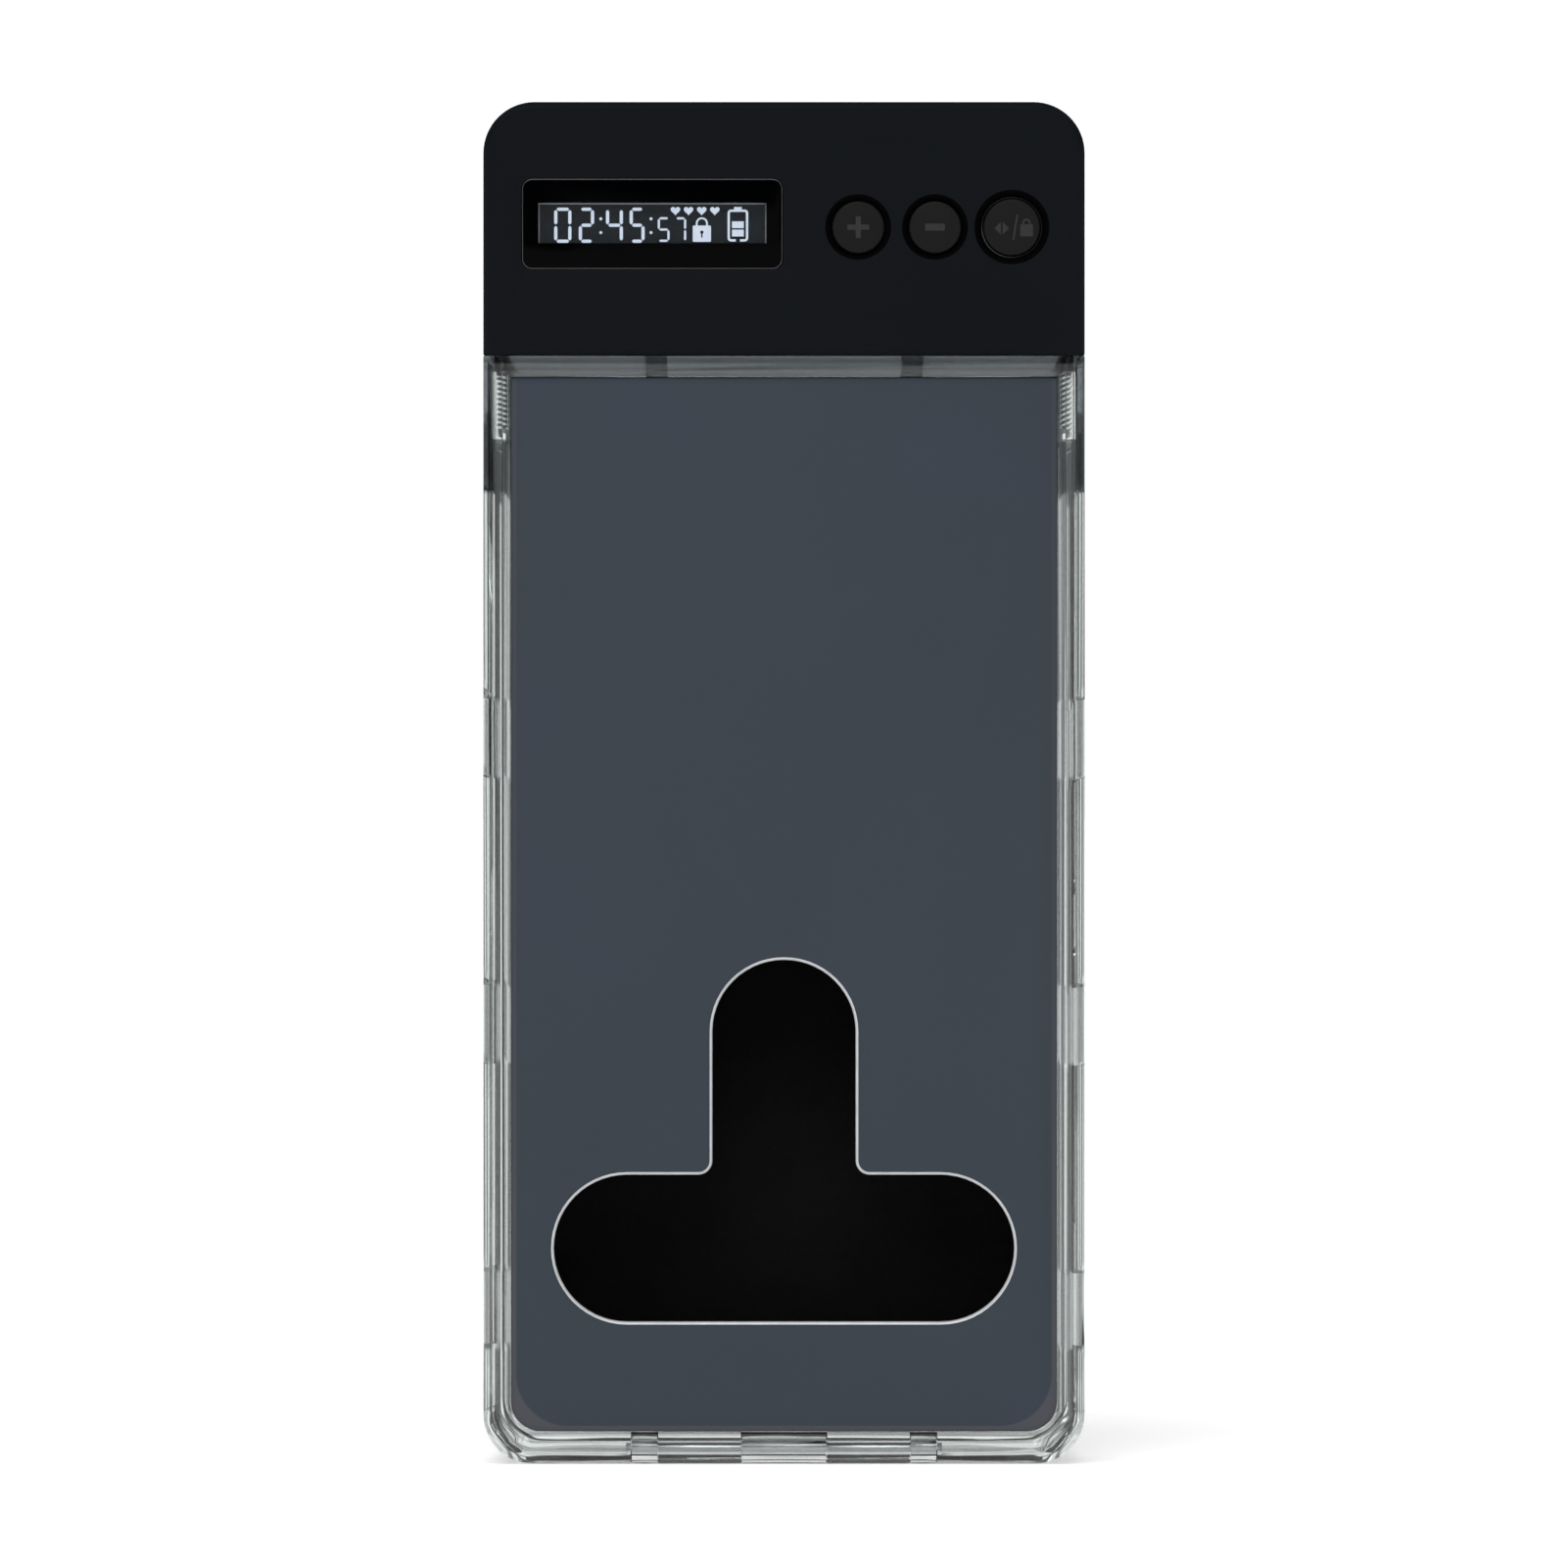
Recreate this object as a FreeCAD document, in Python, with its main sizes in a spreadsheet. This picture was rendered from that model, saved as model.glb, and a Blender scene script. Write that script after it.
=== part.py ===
import FreeCAD, Part
import math
import os
import re
import Sketcher

# Timed lock container: a clear tray and a clear door under a black head that holds the timer and the lock.
# Millimetres. +Z is up with the head on top, and the display side faces -Y. The origin is under the middle.

SIZES = {
    "body_width": 94, "overall_height": 213, "overall_depth": 24, "head_height": 39.5, "corner_radius": 8,
    # How far a cut runs past the face that it opens, and what a full-round end is short of a half circle
    "overcut": 1, "arc_trim": 0.01,
    # Clear tray and the foam on its back
    "tray_depth": 18, "tray_wall": 2, "tray_floor": 2, "tray_back": 2, "tray_edge": 1.2,
    "window_length": 32.5, "window_width": 8, "window_pitch": 44.7, "window_top_middle": 135.5,
    "window_place": 1.5, "end_window_length": 10.5, "end_window_middle": 13.3,
    "liner_thickness": 2, "liner_margin": 2.5, "liner_top_margin": 14,
    # Two long screws that hold the head on the tray
    "body_screw_inset": 2.7, "body_screw_place": 0.3, "body_screw_radius": 0.95, "body_screw_length": 13.9,
    "body_screw_head_radius": 1.7, "body_screw_head_height": 1.4, "tray_boss_radius": 2.5,
    "tray_boss_length": 13.8, "ear_margin": 0.1,
    # Door frame, its panel and the hand opening
    "door_setback": 0.8, "door_gap": 0.2, "rim_width": 4.3, "rim_bottom": 5.2, "rim_top": 3.3,
    "skirt_wall": 1.5, "lip_wall": 1.5, "lip_reach": 3.7, "ledge_width": 1.5, "ledge_thickness": 1.6,
    "shelf_thickness": 2, "shelf_depth": 7, "panel_thickness": 1.8, "panel_recess": 0.4, "panel_round": 4.7,
    "panel_gap": 0.1, "bar_width": 72, "bar_height": 23, "bar_bottom": 22.3, "stem_width": 22.4,
    "stem_top": 78.9, "junction_round": 2.2,
    # Hinge along the bottom edge
    "knuckle_radius": 2.6, "pin_radius": 0.75, "running_gap": 0.05, "hinge_half": 23.8, "hinge_inner": 6.6,
    "hinge_outer": 19.8, "hinge_gap": 0.15, "sweep_gap": 0.3,
    # Head housing
    "head_wall": 2, "head_edge": 0.8, "cover_depth": 6, "fit_gap": 0.15,
    "tongue_half": 24, "tongue_thickness": 1.15, "tongue_reach": 1.5,
    "case_screw_inset": 5.5, "case_screw_low": 7.5, "case_boss_side": 4.8, "case_screw_radius": 0.95,
    "case_screw_length": 13.9, "case_screw_head_radius": 1.9, "case_sink": 0.1, "lug_thickness": 3.5,
    "lug_half": 2.9,
    # Display
    "lens_width": 40.7, "lens_height": 14.1, "lens_thickness": 1.15, "lens_round": 1.6,
    "lens_gap": 0.1, "lens_glue": 0.05, "display_level": 20.4, "sight_width": 36.7, "sight_height": 7.4,
    "glass_width": 38.5, "glass_height": 9.5, "glass_thickness": 2.2, "holder_wall": 0.8, "holder_grip": 1.75,
    # Buttons
    "button_level": 19.9, "button_shift": 0.567, "button_pitch": 12, "cap_radius": 4.05,
    "lock_cap_radius": 4.4, "cap_gap": 0.2, "dish_depth": 0.95, "lock_dish_depth": 1.3, "cap_recess": 0.2,
    "flange_width": 0.6, "flange_thickness": 0.8, "press_gap": 0.1, "plunger_side": 1.6,
    "plunger_hold": 0.7, "switch_width": 5.2, "switch_thickness": 1.2,
    # Control board
    "board_stand": 3, "board_thickness": 1.2, "board_side_gap": 0.4, "board_gap": 0.4, "board_drop": 4,
    "board_corner": 4.5, "post_inset": 1.8, "post_side": 3.6, "rib_drop": 10,
    "rib_width": 3, "rib_height": 5, "board_screw_radius": 0.75, "board_screw_depth": 2.3,
    "board_screw_head_radius": 1.5, "board_screw_head_height": 0.9, "clear_gap": 0.15,
    "controller_side": 7, "controller_place": -13, "controller_level": 28.5, "chip_height": 1.2,
    "driver_width": 5, "driver_place": 14, "driver_level": 29, "connector_width": 6, "connector_length": 4.5,
    "connector_height": 3.6, "motor_lead_place": -14, "motor_lead_level": 21, "battery_lead_inset": 7,
    "battery_lead_level": 31.5, "capacitor_width": 4.3, "capacitor_length": 7.3, "capacitor_height": 2.8,
    "capacitor_place": -21.5, "capacitor_level": 29,
    # Lock drive
    "chassis_thickness": 2, "bolt_side": 20, "bolt_place": -7, "bolt_radius": 1.5, "bolt_travel": 3.5,
    "bolt_lift": 0.4, "carriage_half": 23.5, "carriage_depth": 3.8,
    "carriage_height": 3.6, "carriage_rise": 6.5, "bolt_grip": 3, "bolt_tip": 0.4, "strike_gap": 0.2,
    "strike_half": 3.4, "strike_floor": 0.2, "gear_module": 0.5, "gear_teeth": 12, "gear_face": 4,
    "gear_start": 1.5, "gear_backlash": 0.06, "tooth_sink": 0.05, "rack_thickness": 1.575, "rack_run": 2.2,
    "drive_level": 11.5, "drive_place": 0.1, "shaft_radius": 1.5, "shaft_reach": 8, "shaft_hold": 2.8,
    "shaft_end_gap": 0.2, "gearbox_length": 9, "motor_length": 15, "motor_width": 10, "motor_height": 12,
    "bulkhead_thickness": 1.5, "bulkhead_face": -2, "shaft_hole_radius": 2.1, "cradle_thickness": 3,
    "cradle_place": -24, "cradle_wall": 1.2, "cradle_front": 4,
    # Power and sound
    "battery_width": 30, "battery_height": 25, "battery_thickness": 5, "battery_inset": 7, "battery_rise": 7,
    "pad_thickness": 0.7, "pad_margin": 2, "port_width": 8.94, "port_height": 3.26,
    "port_length": 7.35, "port_wall": 0.3, "port_sink": 0.45, "port_floor": 1.3, "port_tongue_width": 6.7,
    "port_tongue_thickness": 0.7, "port_gap": 0.2, "buzzer_side": 9, "buzzer_height": 3, "buzzer_inset": 14,
    "buzzer_level": 27,
}

doc = FreeCAD.newDocument("timed_lock_container")
sheet = doc.addObject("Spreadsheet::Sheet", "Sizes")
for row, (alias, value) in enumerate(SIZES.items(), start=1):
    sheet.set(f"A{row}", alias)
    sheet.set(f"B{row}", str(value))
    sheet.setAlias(f"B{row}", alias)
doc.recompute()

WORD = re.compile(r"[a-z]+(?:_[a-z]+)*")
# The origin plane of each kind of sketch, and which way the sketch faces along its axis.
FACINGS = {"front": ("XZ_Plane", -1), "top": ("XY_Plane", 1), "side": ("YZ_Plane", 1)}
TURNS = {
    "x": FreeCAD.Rotation(FreeCAD.Vector(0, 1, 0), 90),
    "y": FreeCAD.Rotation(FreeCAD.Vector(1, 0, 0), -90),
    "z": FreeCAD.Rotation(),
}
SUBPARTS = {}


def bound(text):
    """The text with the sheet's name before every alias."""
    return WORD.sub(lambda word: f"Sizes.{word[0]}" if word[0] in SIZES else word[0], str(text))


def number(text):
    """What an expression comes to with the sheet's sizes."""
    return float(sheet.evalExpression(bound(text)))


def vector(across, up):
    return FreeCAD.Vector(number(across), number(up), 0)


def keep(node, item):
    """Names a finished sub-part."""
    item.Label = node
    SUBPARTS[node] = item
    return item


# Sketches and the features of a moulded piece


def constrain(sketch, kind, value, *places):
    index = sketch.addConstraint(Sketcher.Constraint(kind, *places, number(value)))
    sketch.setExpression(f"Constraints[{index}]", bound(value))


def pin_point(sketch, geometry, vertex, across, up):
    constrain(sketch, "DistanceX", across, -1, 1, geometry, vertex)
    constrain(sketch, "DistanceY", up, -1, 1, geometry, vertex)


def circle(across, up, radius):
    def draw(sketch):
        round_edge = sketch.addGeometry(
            Part.Circle(vector(across, up), FreeCAD.Vector(0, 0, 1), number(radius))
        )
        pin_point(sketch, round_edge, 3, across, up)
        constrain(sketch, "Radius", radius, round_edge)

    return draw


def loop(*corners):
    """A closed outline of edges along the sketch's axes. A corner is (across, up) or (across, up, radius)."""

    def toward(corner, other):
        run, rise = (number(other[axis]) - number(corner[axis]) for axis in (0, 1))
        return (math.copysign(1, run), 0) if abs(run) > abs(rise) else (0, math.copysign(1, rise))

    def draw(sketch):
        joints = []
        for place, corner in enumerate(corners):
            across, up = corner[:2]
            if len(corner) == 2:
                joints.append(((across, up), (across, up), None))
                continue
            back = toward(corner, corners[place - 1])
            ahead = toward(corner, corners[(place + 1) % len(corners)])
            moved = [
                (f"({across}) + {dx:g} * ({corner[2]})", f"({up}) + {dy:g} * ({corner[2]})")
                for dx, dy in (back, ahead, (back[0] + ahead[0], back[1] + ahead[1]))
            ]
            joints.append(tuple(moved))
        edges = []
        for place, (_, start, _) in enumerate(joints):
            stop = joints[(place + 1) % len(joints)][0]
            edges.append(sketch.addGeometry(Part.LineSegment(vector(*start), vector(*stop))))
            pin_point(sketch, edges[-1], 1, *start)
        for place, (start, stop, centre) in enumerate(joints):
            arriving, leaving = edges[place - 1], edges[place]
            if centre is None:
                sketch.addConstraint(Sketcher.Constraint("Coincident", arriving, 2, leaving, 1))
                continue
            pin_point(sketch, arriving, 2, *start)
            middle = vector(*centre)
            tip = vector(*corners[place][:2])
            bulge = middle + (tip - middle).normalize() * number(corners[place][2])
            curve = sketch.addGeometry(Part.Arc(vector(*start), bulge, vector(*stop)))
            first, last = (1, 2) if sketch.getPoint(curve, 1).isEqual(vector(*start), 1e-6) else (2, 1)
            sketch.addConstraint(Sketcher.Constraint("Coincident", arriving, 2, curve, first))
            sketch.addConstraint(Sketcher.Constraint("Coincident", leaving, 1, curve, last))
            constrain(sketch, "Radius", corners[place][2], curve)

    return draw


def rectangle(left, right, low, high, low_round=None, high_round=None):
    lows = () if low_round is None else (low_round,)
    highs = () if high_round is None else (high_round,)
    return loop((left, low, *lows), (right, low, *lows), (right, high, *highs), (left, high, *highs))


def centred(middle, level, width, height, radius=None):
    """A rectangle about a point."""
    return rectangle(
        f"{middle} - ({width}) / 2", f"{middle} + ({width}) / 2",
        f"{level} - ({height}) / 2", f"{level} + ({height}) / 2", radius, radius,
    )


def new_body(name):
    return doc.addObject("PartDesign::Body", f"{name}_body")


def new_sketch(body, facing, level, outlines):
    role, sense = FACINGS[facing]
    sketch = body.newObject("Sketcher::SketchObject", "outline")
    sketch.AttachmentSupport = [([p for p in body.Origin.OriginFeatures if p.Role == role][0], "")]
    sketch.MapMode = "FlatFace"
    sketch.setExpression("AttachmentOffset.Base.z", bound(f"{sense} * ({level})"))
    for draw in outlines:
        draw(sketch)
    return sketch


def add(body, facing, low, high, *outlines):
    """Pads outlines between two levels of the axis that the sketch faces."""
    start = high if FACINGS[facing][1] < 0 else low
    pad = body.newObject("PartDesign::Pad", "solid")
    pad.Profile = new_sketch(body, facing, start, outlines)
    pad.setExpression("Length", bound(f"({high}) - ({low})"))
    return pad


def remove(body, facing, low, high, *outlines):
    """Pockets outlines between two levels of the axis that the sketch faces."""
    start = low if FACINGS[facing][1] < 0 else high
    pocket = body.newObject("PartDesign::Pocket", "hollow")
    pocket.Profile = new_sketch(body, facing, start, outlines)
    pocket.setExpression("Length", bound(f"({high}) - ({low})"))
    return pocket


def bevel_edges(body, size, wanted):
    """Chamfers the edges of the last feature that the test picks."""
    doc.recompute()
    last = body.Tip
    names = [f"Edge{place}" for place, edge in enumerate(last.Shape.Edges, start=1) if wanted(edge)]
    chamfer = body.newObject("PartDesign::Chamfer", "bevel")
    chamfer.Base = (last, names)
    chamfer.setExpression("Size", bound(size))
    return chamfer


def on_level(axis, level):
    """Picks the edges that lie wholly at one level of an axis."""
    place = number(level)

    def test(edge):
        box = edge.BoundBox
        low, high = getattr(box, f"{axis}Min"), getattr(box, f"{axis}Max")
        return abs(low - place) < 1e-4 and abs(high - place) < 1e-4

    return test


def hole_rim(level, across, radius):
    """Picks a round hole's edge at a level of Y, by the hole's place across and its radius."""
    flat = on_level("Y", level)

    def test(edge):
        if not (flat(edge) and isinstance(edge.Curve, Part.Circle)):
            return False
        off = edge.Curve.Center.x - number(across), edge.Curve.Radius - number(radius)
        return max(map(abs, off)) < 1e-4

    return test


# Plain blocks and rods, and how they are joined and cut


def block(x, y, z):
    """A box between a low and a high expression on each axis."""
    box = doc.addObject("Part::Box", "block")
    for side, axis, (low, high) in zip(("Length", "Width", "Height"), "xyz", (x, y, z)):
        box.setExpression(side, bound(f"({high}) - ({low})"))
        box.setExpression(f"Placement.Base.{axis}", bound(low))
    return box


def rod(axis, radius, low, high, first, second):
    """A cylinder along an axis, with its centre line's places on the other two axes in X, Y, Z order."""
    cylinder = doc.addObject("Part::Cylinder", "rod")
    cylinder.Placement = FreeCAD.Placement(FreeCAD.Vector(), TURNS[axis])
    cylinder.setExpression("Radius", bound(radius))
    cylinder.setExpression("Height", bound(f"({high}) - ({low})"))
    places = iter((first, second))
    for name in "xyz":
        cylinder.setExpression(
            f"Placement.Base.{name}", bound(low if name == axis else next(places))
        )
    return cylinder


def join(*items):
    fuse = doc.addObject("Part::MultiFuse", "joined")
    fuse.Shapes = list(items)
    return fuse


def cut(base, *tools):
    result = doc.addObject("Part::Cut", "cut")
    result.Base = base
    result.Tool = tools[0] if len(tools) == 1 else join(*tools)
    return result


def group(items):
    """Separate like pieces under one name."""
    compound = doc.addObject("Part::Compound", "group")
    compound.Links = list(items)
    return compound


# Places that several pieces share

HALF = "body_width / 2"
FRONT = "(-overall_depth / 2)"
BACK = "(overall_depth / 2)"
TRAY_FRONT = f"({BACK} - tray_depth)"
LINER_FRONT = f"({BACK} - tray_back - liner_thickness)"
HEAD_FLOOR = "(overall_height - head_height)"
CHASSIS_TOP = f"({HEAD_FLOOR} + chassis_thickness)"
DOOR_FRONT = f"({FRONT} + door_setback)"
DOOR_BACK = f"({TRAY_FRONT} - door_gap)"
DOOR_TOP = f"({HEAD_FLOOR} - door_gap)"
PANEL_FRONT = f"({DOOR_FRONT} + panel_recess)"
LEDGE_FRONT = f"({PANEL_FRONT} + panel_thickness)"
LEDGE_BACK = f"({LEDGE_FRONT} + ledge_thickness)"
LIP_BACK = f"({DOOR_BACK} + lip_reach)"
OPENING_SIDE = f"({HALF} - rim_width)"
OPENING_TOP = f"({DOOR_TOP} - rim_top)"
PIN_PLACE = f"({DOOR_FRONT} + knuckle_radius)"
PIN_LEVEL = "knuckle_radius"
TRAY_KNUCKLES = [
    ("-hinge_half", "-hinge_outer"), ("-hinge_inner", "hinge_inner"), ("hinge_outer", "hinge_half"),
]
DOOR_KNUCKLES = [("-hinge_outer", "-hinge_inner"), ("hinge_inner", "hinge_outer")]
WALL_BACK = f"({FRONT} + head_wall)"
COVER_FRONT = f"({BACK} - cover_depth)"
COVER_WALL = f"({BACK} - head_wall)"
HEAD_SIDE = f"({HALF} - head_wall)"
HEAD_CEILING = "(overall_height - head_wall)"
BOARD_FRONT = f"({WALL_BACK} + board_stand)"
BOARD_BACK = f"({BOARD_FRONT} + board_thickness)"
PLATE_SIDE = f"({HEAD_SIDE} - fit_gap)"
BOARD_SIDE = f"({HEAD_SIDE} - board_side_gap)"
LOW_END = f"({COVER_FRONT} - lug_thickness)"
CASE_SCREWS = [f"{side} * ({HALF} - case_screw_inset)" for side in (-1, 1)]
CASE_SCREW_LEVEL = f"({HEAD_FLOOR} + case_screw_low)"
BODY_SCREWS = [f"{side} * ({HALF} - body_screw_inset)" for side in (-1, 1)]
BOARD_SCREWS = [f"{side} * ({BOARD_SIDE} - post_inset)" for side in (-1, 1)]
BOLTS = {"left_bolt": "-bolt_side", "right_bolt": "bolt_side"}
CARRIAGE_LOW = f"({HEAD_FLOOR} + carriage_rise)"
CARRIAGE_TOP = f"({CARRIAGE_LOW} + carriage_height)"
BOARD_LOW = f"({CARRIAGE_TOP} + board_gap)"
BOARD_SCREW_LEVEL = f"({BOARD_LOW} + post_inset)"
DRIVE_LEVEL = f"({HEAD_FLOOR} + drive_level)"
PITCH_PLACE = "(drive_place - gear_module * gear_teeth / 2)"
PRESSURE_ANGLE = math.radians(25)
DEDENDUM = 1.25
FLANK_STEPS = 2
DISPLAY_LEVEL = f"({HEAD_FLOOR} + display_level)"
BUTTON_LEVEL = f"({HEAD_FLOOR} + button_level)"
PORT_PLACE = f"({BOARD_BACK} + port_height / 2)"
PORT_TOP = "(overall_height - port_sink)"
# The lens and the row of buttons share what is left of the head's width in three like margins.
FIRST_DISH = "(cap_radius + cap_gap + dish_depth)"
LAST_DISH = "(lock_cap_radius + cap_gap + lock_dish_depth)"
MARGIN = f"((body_width - lens_width - 2 * button_pitch - {FIRST_DISH} - {LAST_DISH}) / 3)"
LENS_MIDDLE = f"({MARGIN} + lens_width / 2 - {HALF})"
LAST_BUTTON = f"({HALF} - {MARGIN} - {LAST_DISH} + button_shift)"
BUTTONS = {
    "plus": (f"({LAST_BUTTON} - 2 * button_pitch)", "cap_radius", "dish_depth"),
    "minus": (f"({LAST_BUTTON} - button_pitch)", "cap_radius", "dish_depth"),
    "lock": (LAST_BUTTON, "lock_cap_radius", "lock_dish_depth"),
}


def clear_tray():
    """The moulded tray: back, side walls with windows, floor, two screw bosses and its half of the hinge."""
    body = new_body("clear_tray")
    add(
        body, "front", TRAY_FRONT, BACK,
        rectangle(f"-{HALF}", HALF, "0", HEAD_FLOOR, low_round="corner_radius"),
    )
    back_edges = on_level("Y", BACK)
    below_head = number(f"{HEAD_FLOOR} - overcut")
    bevel_edges(body, "tray_edge", lambda edge: back_edges(edge) and edge.BoundBox.ZMin < below_head)
    inner = f"({HALF} - tray_wall)"
    remove(
        body, "front", TRAY_FRONT, f"{BACK} - tray_back",
        rectangle(
            f"-{inner}", inner, "tray_floor", f"{HEAD_FLOOR} + overcut", low_round="corner_radius - tray_wall"
        ),
    )
    windows = [
        (f"(window_top_middle - {step} * window_pitch)", "window_length") for step in range(3)
    ] + [("end_window_middle", "end_window_length")]
    remove(
        body, "side", f"-{HALF} - overcut", f"{HALF} + overcut",
        *(centred("window_place", middle, "window_width", length) for middle, length in windows),
    )
    boss_low = f"{HEAD_FLOOR} - tray_boss_length"
    add(
        body, "top", boss_low, HEAD_FLOOR,
        *(circle(side, "body_screw_place", "tray_boss_radius") for side in BODY_SCREWS),
    )
    remove(
        body, "top", f"{HEAD_FLOOR} - body_screw_length + chassis_thickness", HEAD_FLOOR,
        *(circle(side, "body_screw_place", "body_screw_radius") for side in BODY_SCREWS),
    )
    for low, high in DOOR_KNUCKLES:
        remove(
            body, "side", f"{low} - hinge_gap", f"{high} + hinge_gap",
            circle(PIN_PLACE, PIN_LEVEL, "knuckle_radius + sweep_gap"),
        )
    for low, high in TRAY_KNUCKLES:
        add(body, "side", low, high, circle(PIN_PLACE, PIN_LEVEL, "knuckle_radius"))
        add(body, "side", low, high, rectangle(PIN_PLACE, f"{TRAY_FRONT} + overcut", "0", "tray_floor"))
    remove(
        body, "side", "-hinge_half - overcut", "hinge_half + overcut",
        circle(PIN_PLACE, PIN_LEVEL, "pin_radius"),
    )
    return keep("clear_tray", body)


def foam_liner():
    """The black foam sheet on the tray's back that the phone lies against."""
    body = new_body("foam_liner")
    side = f"({HALF} - tray_wall - liner_margin)"
    low = "(tray_floor + liner_margin)"
    add(
        body, "front", LINER_FRONT, f"{BACK} - tray_back",
        rectangle(f"-{side}", side, low, f"{HEAD_FLOOR} - liner_top_margin"),
    )
    return keep("foam_liner", body)


def door_frame():
    """The clear moulded frame: rebate and ledge for the panel, skirt, lip, top shelf and two knuckles."""
    body = new_body("door_frame")
    add(
        body, "front", DOOR_FRONT, DOOR_BACK,
        rectangle(f"-{HALF}", HALF, "0", DOOR_TOP, low_round="corner_radius"),
    )
    skirt = f"({HALF} - skirt_wall)"
    remove(
        body, "front", LEDGE_BACK, DOOR_BACK,
        rectangle(
            f"-{skirt}", skirt, "skirt_wall", f"{DOOR_TOP} - shelf_thickness",
            low_round="corner_radius - skirt_wall",
        ),
    )
    lip_side = f"({OPENING_SIDE} + lip_wall)"
    add(
        body, "front", LEDGE_FRONT, LIP_BACK,
        rectangle(
            f"-{lip_side}", lip_side, "rim_bottom - lip_wall", f"{OPENING_TOP} + lip_wall",
            low_round="panel_round + lip_wall",
        ),
    )
    remove(
        body, "front", LEDGE_BACK, f"{LIP_BACK} + overcut",
        rectangle(f"-{OPENING_SIDE}", OPENING_SIDE, "rim_bottom", OPENING_TOP, low_round="panel_round"),
    )
    add(
        body, "top", f"{DOOR_TOP} - shelf_thickness", DOOR_TOP,
        rectangle(f"-{lip_side}", lip_side, DOOR_FRONT, f"{DOOR_FRONT} + shelf_depth"),
    )
    for side in BOLTS.values():
        add(
            body, "top", OPENING_TOP, DOOR_TOP,
            rectangle(
                f"{side} - strike_half", f"{side} + strike_half", DOOR_FRONT, f"{DOOR_FRONT} + shelf_depth"
            ),
        )
    seat_side = f"({OPENING_SIDE} + panel_gap)"
    remove(
        body, "front", f"{DOOR_FRONT} - overcut", LEDGE_FRONT,
        rectangle(
            f"-{seat_side}", seat_side, "rim_bottom - panel_gap", f"{OPENING_TOP} + panel_gap",
            low_round="panel_round + panel_gap",
        ),
    )
    sight_side = f"({OPENING_SIDE} - ledge_width)"
    remove(
        body, "front", DOOR_FRONT, LIP_BACK,
        rectangle(
            f"-{sight_side}", sight_side, "rim_bottom + ledge_width", f"{OPENING_TOP} - ledge_width",
            low_round="panel_round - ledge_width",
        ),
    )
    strike = "2 * (bolt_radius + strike_gap)"
    remove(
        body, "top", f"{OPENING_TOP} + strike_floor", f"{DOOR_TOP} + overcut",
        *(centred(side, "bolt_place", strike, strike) for side in BOLTS.values()),
    )
    # Below the pin the frame is as round as its knuckles, so that it turns clear of the table and the tray.
    swing = cut(
        block(
            (f"-{HALF} - overcut", f"{HALF} + overcut"), (f"{DOOR_FRONT} - overcut", f"{LIP_BACK} + overcut"),
            ("-overcut", PIN_LEVEL),
        ),
        rod("x", "knuckle_radius", f"-{HALF} - 2 * overcut", f"{HALF} + 2 * overcut", PIN_PLACE, PIN_LEVEL),
    )
    notches = [
        rod("x", "knuckle_radius + sweep_gap", f"{low} - hinge_gap", f"{high} + hinge_gap",
            PIN_PLACE, PIN_LEVEL)
        for low, high in TRAY_KNUCKLES
    ]
    knuckles = [
        rod("x", "knuckle_radius", f"{low} + hinge_gap", f"{high} - hinge_gap", PIN_PLACE, PIN_LEVEL)
        for low, high in DOOR_KNUCKLES
    ]
    bore = rod(
        "x", "pin_radius + running_gap", "-hinge_half - overcut", "hinge_half + overcut", PIN_PLACE, PIN_LEVEL
    )
    return keep("door_frame", cut(join(cut(body, swing, *notches), *knuckles), bore))


def door_panel():
    """The smoked panel in the frame's rebate, with the hand opening in the form of an upside-down T."""
    body = new_body("door_panel")
    add(
        body, "front", PANEL_FRONT, LEDGE_FRONT,
        rectangle(f"-{OPENING_SIDE}", OPENING_SIDE, "rim_bottom", OPENING_TOP, low_round="panel_round"),
    )
    bar_top = "(bar_bottom + bar_height)"
    stem_round = "stem_width / 2 - arc_trim"
    bar_round = "bar_height / 2 - arc_trim"
    remove(
        body, "front", PANEL_FRONT, LEDGE_FRONT,
        loop(
            ("-bar_width / 2", "bar_bottom", bar_round), ("bar_width / 2", "bar_bottom", bar_round),
            ("bar_width / 2", bar_top, bar_round), ("stem_width / 2", bar_top, "junction_round"),
            ("stem_width / 2", "stem_top", stem_round), ("-stem_width / 2", "stem_top", stem_round),
            ("-stem_width / 2", bar_top, "junction_round"), ("-bar_width / 2", bar_top, bar_round),
        ),
    )
    return keep("door_panel", body)


def hinge_pin():
    return keep("hinge_pin", rod("x", "pin_radius", "-hinge_half", "hinge_half", PIN_PLACE, PIN_LEVEL))


def body_screws():
    screws = [
        join(
            rod("z", "body_screw_head_radius", CHASSIS_TOP, f"{CHASSIS_TOP} + body_screw_head_height",
                side, "body_screw_place"),
            rod("z", "body_screw_radius", f"{CHASSIS_TOP} - body_screw_length", CHASSIS_TOP,
                side, "body_screw_place"),
        )
        for side in BODY_SCREWS
    ]
    return keep("body_screws", group(screws))


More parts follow.
